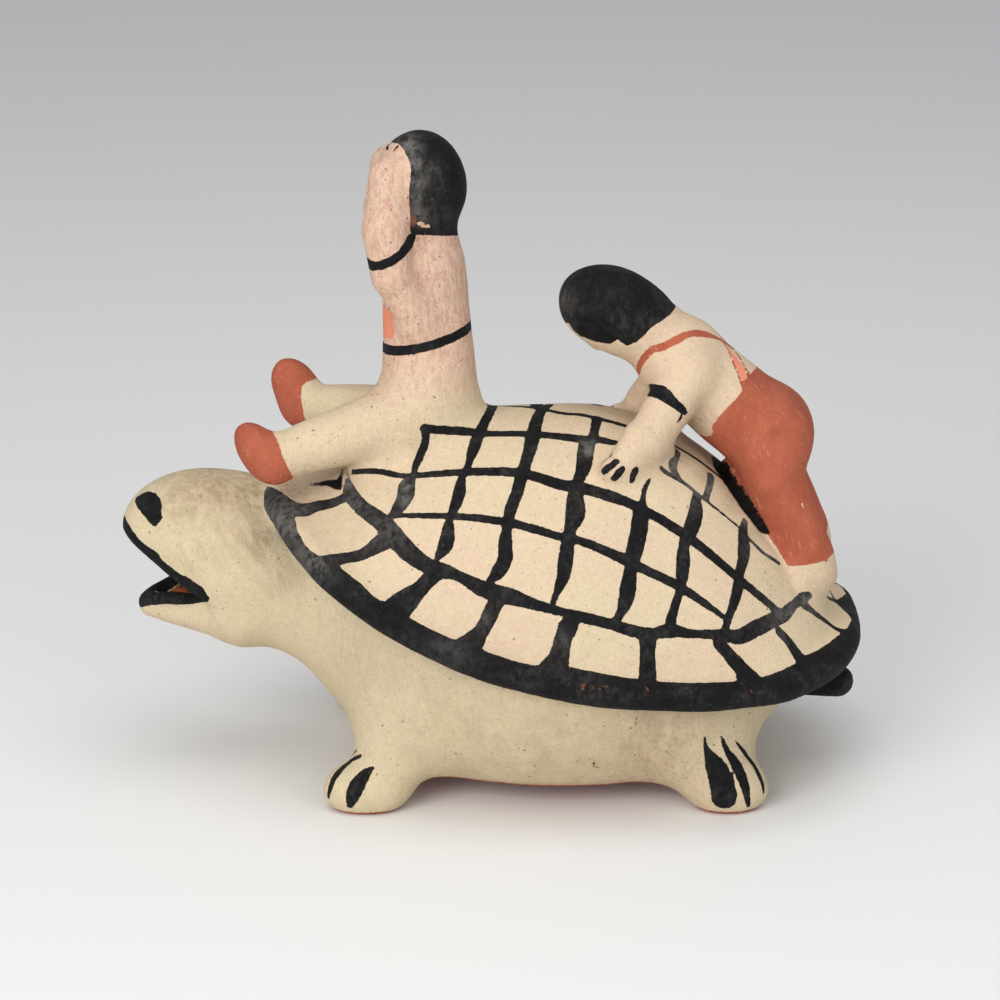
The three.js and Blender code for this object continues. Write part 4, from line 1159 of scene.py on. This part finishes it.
# %% Attributes
masks = {
    "black_mm": black,
    "red_mm": red,
    "orange_mm": orange,
    "mouth_mm": mouth,
    "crack_and_shade_mm": cracks_and_shade,
    "worn": soft_spots(pixels_folded, WORN_SPOTS),
    "rosy": soft_spots(pixels_folded, ROSY_SPOTS),
    "pink": pink,
    "pitted": pitted,
    "rust_mm": np.maximum(distance_to_area(pixels, RUST_PATCH), belongs("sitter")),
    "mottled": mottled,
    "streaky": streaky,
    "flecked": soft_spots(pixels_folded, FLECKED_SPOTS),
    "dust_and_shade": soft_spots(pixels_folded, DUST_AND_SHADE_SPOTS),
    "scratch_mm": painted(p, [brush_line(climber, read) for read in SCRATCHES]),
}
for name, values in masks.items():
    layer = skin.attributes.new(name, "FLOAT", "POINT")
    layer.data.foreach_set("value", np.clip(values, -UNPAINTED, UNPAINTED).astype(np.float32))
    print(name, round(float(values.min()), 2), round(float(values.max()), 2))

# %% [markdown]
# ## The finish: slip on fired clay
#
# The slip is matte, with grit, pin holes and faint strokes of the rag that polished it. Three small node
# groups give the effects that every colour shares: a hand-painted edge, clouds in the slip and pin holes.

# %% Node helpers
def new_group(name, inputs, outputs):
    """A node group with named sockets, and its input and output nodes."""
    group = bpy.data.node_groups.new(name, "ShaderNodeTree")
    for label, kind, default in inputs:
        socket = group.interface.new_socket(name=label, in_out="INPUT", socket_type=kind)
        socket.default_value = default
    for label, kind in outputs:
        group.interface.new_socket(name=label, in_out="OUTPUT", socket_type=kind)
    return group, group.nodes.new("NodeGroupInput"), group.nodes.new("NodeGroupOutput")


def calculate(tree, operation, a, b=None, c=None):
    """One step of sums on sockets or plain numbers."""
    node = tree.nodes.new("ShaderNodeMath")
    node.operation = operation
    for socket, value in zip(node.inputs, (a, b, c)):
        if value is None:
            continue
        if isinstance(value, (int, float)):
            socket.default_value = value
        else:
            tree.links.new(value, socket)
    return node.outputs[0]


def blend(tree, amount, first, second):
    """Mixes two colours, each a socket or a colour."""
    node = tree.nodes.new("ShaderNodeMix")
    node.data_type = "RGBA"
    for socket, value in ((node.inputs["Factor"], amount), (node.inputs[6], first), (node.inputs[7], second)):
        if isinstance(value, bpy.types.NodeSocket):
            tree.links.new(value, socket)
        else:
            socket.default_value = value
    return node.outputs[2]


def noise(tree, scale, detail=2.0, streak=1.0, lean=0.0, roughness=0.5):
    """Noise in object coordinates; streak draws it out along Z, and lean tips that towards X, in degrees."""
    place = tree.nodes.new("ShaderNodeTexCoord").outputs["Object"]
    if streak != 1.0:
        mapping = tree.nodes.new("ShaderNodeMapping")
        mapping.vector_type = "TEXTURE"
        mapping.inputs["Rotation"].default_value = (0, math.radians(lean), 0)
        mapping.inputs["Scale"].default_value = (1, 1, streak)
        tree.links.new(place, mapping.inputs["Vector"])
        place = mapping.outputs["Vector"]
    node = tree.nodes.new("ShaderNodeTexNoise")
    node.inputs["Scale"].default_value = scale
    node.inputs["Detail"].default_value = detail
    node.inputs["Roughness"].default_value = roughness
    tree.links.new(place, node.inputs["Vector"])
    return node.outputs["Fac"]


def between(tree, value, low, high, to_low=0.0, to_high=1.0):
    """A soft step of value from low to high."""
    node = tree.nodes.new("ShaderNodeMapRange")
    node.interpolation_type = "SMOOTHSTEP"
    tree.links.new(value, node.inputs["Value"])
    for key, number in (("From Min", low), ("From Max", high), ("To Min", to_low), ("To Max", to_high)):
        if isinstance(number, bpy.types.NodeSocket):
            tree.links.new(number, node.inputs[key])
        else:
            node.inputs[key].default_value = number
    return node.outputs["Result"]


# %% Hand-painted edge
paint_edge, given, result = new_group(
    "hand_painted_edge",
    [
        ("Distance", "NodeSocketFloat", 0.0),
        ("Wobble", "NodeSocketFloat", 0.15),
        ("Softness", "NodeSocketFloat", 0.09),
    ],
    [("Paint", "NodeSocketFloat")],
)
tremble = calculate(paint_edge, "SUBTRACT", noise(paint_edge, 520, 3.0), 0.5)
tremble = calculate(paint_edge, "MULTIPLY", tremble, given.outputs["Wobble"])
ripple = calculate(paint_edge, "SUBTRACT", noise(paint_edge, 1700, 2.0), 0.5)
ripple = calculate(paint_edge, "MULTIPLY", ripple, given.outputs["Wobble"])
shaken = calculate(paint_edge, "MULTIPLY_ADD", tremble, 4.0, given.outputs["Distance"])
shaken = calculate(paint_edge, "MULTIPLY_ADD", ripple, 2.5, shaken)
soft_low = calculate(paint_edge, "MULTIPLY", given.outputs["Softness"], -1.0)
paint_edge.links.new(
    between(paint_edge, shaken, soft_low, given.outputs["Softness"], 1.0, 0.0), result.inputs["Paint"]
)
print("inputs of a painted edge:", [socket.name for socket in given.outputs if socket.name])

# %% Clouds and pin holes
clouds, given, result = new_group(
    "slip_clouds",
    [],
    [(kind_of_cloud, "NodeSocketFloat") for kind_of_cloud in ("Broad", "Streaks", "Grit", "Mottle")],
)
clouds.links.new(between(clouds, noise(clouds, 34, 4.0), 0.3, 0.7), result.inputs["Broad"])
rag_strokes = noise(clouds, 560, 5.0, 4.5, -25.0, 0.62)
clouds.links.new(between(clouds, rag_strokes, 0.36, 0.64), result.inputs["Streaks"])
clouds.links.new(between(clouds, noise(clouds, 2100, 4.0, roughness=0.65), 0.3, 0.7), result.inputs["Grit"])
clouds.links.new(between(clouds, noise(clouds, 620, 5.0, roughness=0.6), 0.35, 0.7), result.inputs["Mottle"])

pin_holes, given, result = new_group(
    "pin_holes",
    [("Scale", "NodeSocketFloat", 300.0), ("Share", "NodeSocketFloat", 0.2)],
    [("Hole", "NodeSocketFloat")],
)
cells = pin_holes.nodes.new("ShaderNodeTexVoronoi")
cells.feature = "F1"
pin_holes.links.new(pin_holes.nodes.new("ShaderNodeTexCoord").outputs["Object"], cells.inputs["Vector"])
pin_holes.links.new(given.outputs["Scale"], cells.inputs["Scale"])
spread = pin_holes.nodes.new("ShaderNodeSeparateColor")
pin_holes.links.new(cells.outputs["Color"], spread.inputs["Color"])
chosen_cell = calculate(pin_holes, "LESS_THAN", spread.outputs[0], given.outputs["Share"])
size_here = calculate(pin_holes, "MULTIPLY_ADD", spread.outputs[1], 0.26, 0.16)
hole = between(pin_holes, cells.outputs["Distance"], 0.0, size_here, 1.0, 0.0)
pin_holes.links.new(calculate(pin_holes, "MULTIPLY", hole, chosen_cell), result.inputs["Hole"])
print("node groups:", [g.name for g in bpy.data.node_groups])

# %% [markdown]
# ## The material
#
# One material carries all the slips, because on the object they lie on one clay and share its grit. Colours
# are laid over each other: cream with its blush and pin holes, red with its scratches, orange, the inside of
# the mouth, black with its rubbed places, and last the cracks together with the near-black painted shade of
# the slot, the creases and the gap behind the shins.

# %% Colours of the slips
def reflected(value):
    """A shade from 0 to 255 as the eye sees it, turned into the share of light that it reflects."""
    return value / 255 / 12.92 if value <= 10 else ((value / 255 + 0.055) / 1.055) ** 2.4


def paint(red_part, green_part, blue_part):
    """A colour for a shader, from three shades of 0 to 255."""
    return (reflected(red_part), reflected(green_part), reflected(blue_part), 1.0)


CREAM_YELLOW, CREAM_PINK, CREAM_DEEP = paint(219, 205, 170), paint(224, 191, 168), paint(160, 138, 108)
DUSK_PINK, PINK_SHADE = paint(146, 108, 100), paint(190, 142, 124)
CHARCOAL, SOOT, ASH = paint(7, 6, 7), paint(24, 23, 24), paint(112, 108, 103)
RED_EARTH, RED_DEEP, RED_PALE = paint(184, 101, 76), paint(150, 76, 55), paint(214, 154, 122)
ORANGE = paint(228, 142, 112)
MOUTH_BROWN, MOUTH_DARK = paint(158, 88, 48), paint(46, 38, 36)
# The near-black brown serves the drying cracks and the painted shade alike.
BARE_CLAY, CRACK_AND_SHADE_BROWN, RUST = paint(96, 76, 60), paint(14, 10, 8), paint(132, 84, 62)
print("cream reflects", round(CREAM_YELLOW[0], 2), "of red light, and charcoal", round(CHARCOAL[0], 4))

# %% The material, its masks and its painted edges
clay = bpy.data.materials.new("slip_painted_clay")
clay.use_nodes = True
tree = clay.node_tree
tree.nodes.clear()
output = tree.nodes.new("ShaderNodeOutputMaterial")
surface = tree.nodes.new("ShaderNodeBsdfPrincipled")
tree.links.new(surface.outputs[0], output.inputs["Surface"])


def mask(name):
    """A number that was kept with the vertices."""
    node = tree.nodes.new("ShaderNodeAttribute")
    node.attribute_name = name
    return node.outputs["Fac"]


def use(group, **values):
    """Places a node group, and sets its inputs to sockets or numbers."""
    node = tree.nodes.new("ShaderNodeGroup")
    node.node_tree = group
    for key, value in values.items():
        if isinstance(value, bpy.types.NodeSocket):
            tree.links.new(value, node.inputs[key])
        else:
            node.inputs[key].default_value = value
    return node


def times(a, b):
    """One mask or number times another."""
    return calculate(tree, "MULTIPLY", a, b)


def scaled(value, by, plus):
    """A value made larger or smaller, and then raised by plus."""
    return calculate(tree, "MULTIPLY_ADD", value, by, plus)


def patches(scale, detail, low, high, least=0.0, most=1.0, **shape):
    """Noise sharpened into patches; low and high are where a patch starts and is full."""
    return between(tree, noise(tree, scale, detail, **shape), low, high, least, most)


cloud = use(clouds).outputs
pits = scaled(mask("pitted"), 0.8, 0.05)
columns = patches(520, 3.0, 0.4, 0.62, 0.15, streak=4.0, roughness=0.6)
fine_holes = use(pin_holes, Scale=1450.0, Share=times(pits, columns)).outputs[0]
big_holes = use(pin_holes, Scale=820.0, Share=times(pits, 0.13)).outputs[0]
black_paint = use(paint_edge, Distance=mask("black_mm"), Wobble=0.13, Softness=0.07).outputs[0]
red_paint = use(paint_edge, Distance=mask("red_mm"), Wobble=0.14, Softness=0.09).outputs[0]
orange_paint = use(paint_edge, Distance=mask("orange_mm"), Wobble=0.15, Softness=0.12).outputs[0]
mouth_paint = use(paint_edge, Distance=mask("mouth_mm"), Wobble=0.3, Softness=0.25).outputs[0]
rust_paint = use(paint_edge, Distance=mask("rust_mm"), Wobble=0.4, Softness=0.4).outputs[0]
crack_and_shade_paint = use(paint_edge, Distance=mask("crack_and_shade_mm"), Wobble=0.12, Softness=0.2).outputs[0]
scratch = use(paint_edge, Distance=mask("scratch_mm"), Wobble=0.2, Softness=0.12).outputs[0]
print("masks and groups in the material:", len(tree.nodes), "nodes")

# %% [markdown]
# ## Cream slip
#
# The cream isn't one colour. It is yellow where the slip is thick, pink where the clay shines through,
# streaked by the rag on the neck and full of pin holes. It is darker in patches of dust, and on the belly
# under the shell and beside the climbing child's shins, where shade is painted into it. Each of these is
# one thin coat over the one before, as strong as its mask and broken up by its own noise.

# %% Cream
pinkness = scaled(cloud["Broad"], 0.3, scaled(mask("pink"), 1.0, -0.15))
cream = blend(tree, pinkness, CREAM_YELLOW, CREAM_PINK)
cream = blend(tree, times(cloud["Mottle"], 0.12), cream, CREAM_DEEP)
cream = blend(tree, times(cloud["Grit"], 0.24), cream, CREAM_DEEP)
marbled = times(mask("mottled"), patches(1000, 6.0, 0.43, 0.62, streak=3.0, roughness=0.7))
cream = blend(tree, times(marbled, 0.62), cream, PINK_SHADE)
# Dust, and painted shade under the shell and beside the shins, darken the cream.
dust_and_shade_share = times(mask("dust_and_shade"), patches(240, 5.0, 0.34, 0.66, 0.35, streak=1.5, roughness=0.6))
cream = blend(tree, times(dust_and_shade_share, 0.62), cream, CREAM_DEEP)
brushed = times(mask("streaky"), scaled(cloud["Streaks"], 0.75, 0.25))
cream = blend(tree, times(brushed, 0.8), cream, CREAM_DEEP)
fire_marks = patches(1100, 4.0, 0.42, 0.68, 0.12, 0.85, streak=2.0, lean=-15.0, roughness=0.65)
cream = blend(tree, times(times(mask("rosy"), fire_marks), 0.55), cream, DUSK_PINK)
cream = blend(tree, times(fine_holes, 0.6), cream, BARE_CLAY)
cream = blend(tree, times(big_holes, 0.8), cream, BARE_CLAY)
print("cream slip is mixed in", len(tree.nodes), "nodes so far")

# %% [markdown]
# ## Red earth and charcoal
#
# Red earth is chalky and blotched. Charcoal slip is nearly black where it is whole, grey where fingers
# rubbed it and thin in broad clouds, with a few rust flecks along the lip. Both are mixed like the cream,
# from a few tones with a noise for each kind of wear.

# %% Red
blotches = patches(150, 5.0, 0.4, 0.68, streak=1.6, lean=20.0, roughness=0.62)
red_tone = blend(tree, times(blotches, 0.6), RED_EARTH, RED_DEEP)
red_tone = blend(tree, times(cloud["Grit"], 0.5), red_tone, RED_DEEP)
chalky = patches(900, 3.0, 0.62, 0.76, 0.0, 0.5, streak=3.0, lean=-20.0)
red_tone = blend(tree, chalky, red_tone, RED_PALE)
red_tone = blend(tree, times(big_holes, 0.6), red_tone, RED_PALE)
print("red earth follows at", len(tree.nodes), "nodes")

# %% Black, and the inside of the mouth
black_tone = blend(tree, cloud["Mottle"], CHARCOAL, SOOT)
rubbed = times(mask("worn"), patches(560, 5.0, 0.34, 0.62, 0.1, streak=2.0, roughness=0.7))
thin_slip = times(patches(95, 3.0, 0.42, 0.62), patches(700, 5.0, 0.4, 0.66, streak=1.6, roughness=0.7))
rubbed = scaled(thin_slip, 0.14, rubbed)
rubbed = calculate(tree, "ADD", rubbed, patches(1500, 3.0, 0.62, 0.76, 0.0, 0.22))
black_tone = blend(tree, rubbed, black_tone, ASH)
flecks = times(mask("flecked"), patches(900, 2.0, 0.58, 0.66))
black_tone = blend(tree, flecks, black_tone, RUST)
black_tone = blend(tree, times(rust_paint, 0.8), black_tone, RUST)
mouth_tone = blend(tree, patches(600, 4.0, 0.42, 0.62), MOUTH_BROWN, MOUTH_DARK)
print("charcoal and mouth follow at", len(tree.nodes), "nodes")

# %% [markdown]
# ## The coats over each other
#
# The painted edges decide which coat is on top. Unglazed slip is matte, and the black is a little smoother.
# The relief of a slip is about a tenth of a millimetre, too fine for the mesh, so it is a bump.

# %% Colour, dullness and relief
colour = blend(tree, red_paint, cream, red_tone)
colour = blend(tree, scratch, colour, CREAM_YELLOW)
colour = blend(tree, orange_paint, colour, ORANGE)
colour = blend(tree, mouth_paint, colour, mouth_tone)
colour = blend(tree, black_paint, colour, black_tone)
# Near-black brown on top of all: drying cracks, and painted shade in the slot, the creases and the gap behind
# the shins.
colour = blend(tree, crack_and_shade_paint, colour, CRACK_AND_SHADE_BROWN)
tree.links.new(colour, surface.inputs["Base Color"])

dullness = scaled(black_paint, -0.12, 0.76)
dullness = scaled(cloud["Mottle"], 0.1, dullness)
tree.links.new(dullness, surface.inputs["Roughness"])
surface.inputs["Specular IOR Level"].default_value = 0.16

GRIT_HEIGHT = 0.12 * MM
height = times(cloud["Grit"], 0.9)
height = scaled(brushed, 1.2, height)
height = scaled(fine_holes, -1.0, height)
height = scaled(big_holes, -2.0, height)
bump = tree.nodes.new("ShaderNodeBump")
bump.inputs["Strength"].default_value = 1.0
bump.inputs["Distance"].default_value = GRIT_HEIGHT
tree.links.new(height, bump.inputs["Height"])
tree.links.new(bump.outputs["Normal"], surface.inputs["Normal"])
print("material nodes:", len(tree.nodes))

# %% [markdown]
# ## The finished piece
#
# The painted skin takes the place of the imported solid. It stays at the origin, unturned and unscaled, with
# its place in its mesh, and its faces are shaded smooth, as wet-wiped clay has no facets.

# %% Hand over the piece
skin.materials.clear()
skin.materials.append(clay)
skin.polygons.foreach_set("material_index", np.zeros(len(skin.polygons), int))
skin.polygons.foreach_set("use_smooth", np.ones(len(skin.polygons), bool))
storyteller = bpy.data.objects.new("painted_storyteller", skin)
bpy.context.scene.collection.objects.link(storyteller)
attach(storyteller, "root")
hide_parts("turtle_storyteller")
print("vertices in the finished piece:", len(skin.vertices))

# %% [markdown]
# ## Floor, light and camera
#
# A pale floor in a pale room. The broad key light stands in front and to the left, a weaker one to the
# right opens the shadows behind the feet, and a third hangs above. Dry clay has no highlights to place, so
# all are large.

# %% Floor and room
FLOOR_SIZE = 3.0
floor_mesh = bpy.data.meshes.new("floor")
bm = bmesh.new()
bmesh.ops.create_grid(bm, x_segments=1, y_segments=1, size=FLOOR_SIZE / 2)
bm.to_mesh(floor_mesh)
bm.free()
floor = bpy.data.objects.new("floor", floor_mesh)
bpy.context.scene.collection.objects.link(floor)
floor_finish = bpy.data.materials.new("pale_floor")
floor_finish.use_nodes = True
floor_finish.node_tree.nodes["Principled BSDF"].inputs["Base Color"].default_value = paint(234, 233, 231)
floor_finish.node_tree.nodes["Principled BSDF"].inputs["Roughness"].default_value = 0.6
floor_mesh.materials.append(floor_finish)

world = bpy.data.worlds.new("pale_room")
bpy.context.scene.world = world
world.use_nodes = True
world.node_tree.nodes["Background"].inputs["Color"].default_value = paint(214, 216, 220)
world.node_tree.nodes["Background"].inputs["Strength"].default_value = 0.55
print("floor", FLOOR_SIZE, "m across")

# %% Lights
FIGURE_MIDDLE = (0, 0, 0.06)


def soft_light(name, place, target, size, power):
    """A square soft light at place, turned to target, in metres."""
    lamp = bpy.data.lights.new(name, "AREA")
    lamp.shape = "SQUARE"
    lamp.size = size
    lamp.energy = power
    holder = bpy.data.objects.new(name, lamp)
    bpy.context.scene.collection.objects.link(holder)
    from_to = np.array(target) - np.array(place)
    length = np.linalg.norm(from_to)
    holder.location = place
    turn_to = math.atan2(from_to[1], from_to[0]) - math.pi / 2
    holder.rotation_euler = (math.acos(-from_to[2] / length), 0, turn_to)
    print(name, power, "W, seen from", round(float(length), 2), "m")


soft_light("key", (-0.5, -0.9, 0.5), FIGURE_MIDDLE, 0.7, 8.8)
soft_light("fill", (0.62, -0.8, 0.45), FIGURE_MIDDLE, 0.7, 2.4)
soft_light("top", (0.1, -0.15, 1.0), FIGURE_MIDDLE, 0.8, 4.0)

# %% Camera
camera_data = bpy.data.cameras.new("camera")
camera_data.sensor_width = SENSOR_MM
camera_data.lens = SENSOR_MM * CAMERA_DISTANCE_MM / PICTURE_WIDTH_MM
camera_data.clip_start = 0.05
camera = bpy.data.objects.new("camera", camera_data)
bpy.context.scene.collection.objects.link(camera)
camera.location = (AIM - CLAY_SHIFT + BACK * CAMERA_DISTANCE_MM) * MM
camera.rotation_euler = (math.pi / 2 - CAMERA_ELEVATION, 0, 0)
bpy.context.scene.camera = camera
bpy.context.scene.view_settings.view_transform = "Standard"
bpy.context.scene.view_settings.look = "None"
print("lens", round(camera_data.lens, 1), "mm")
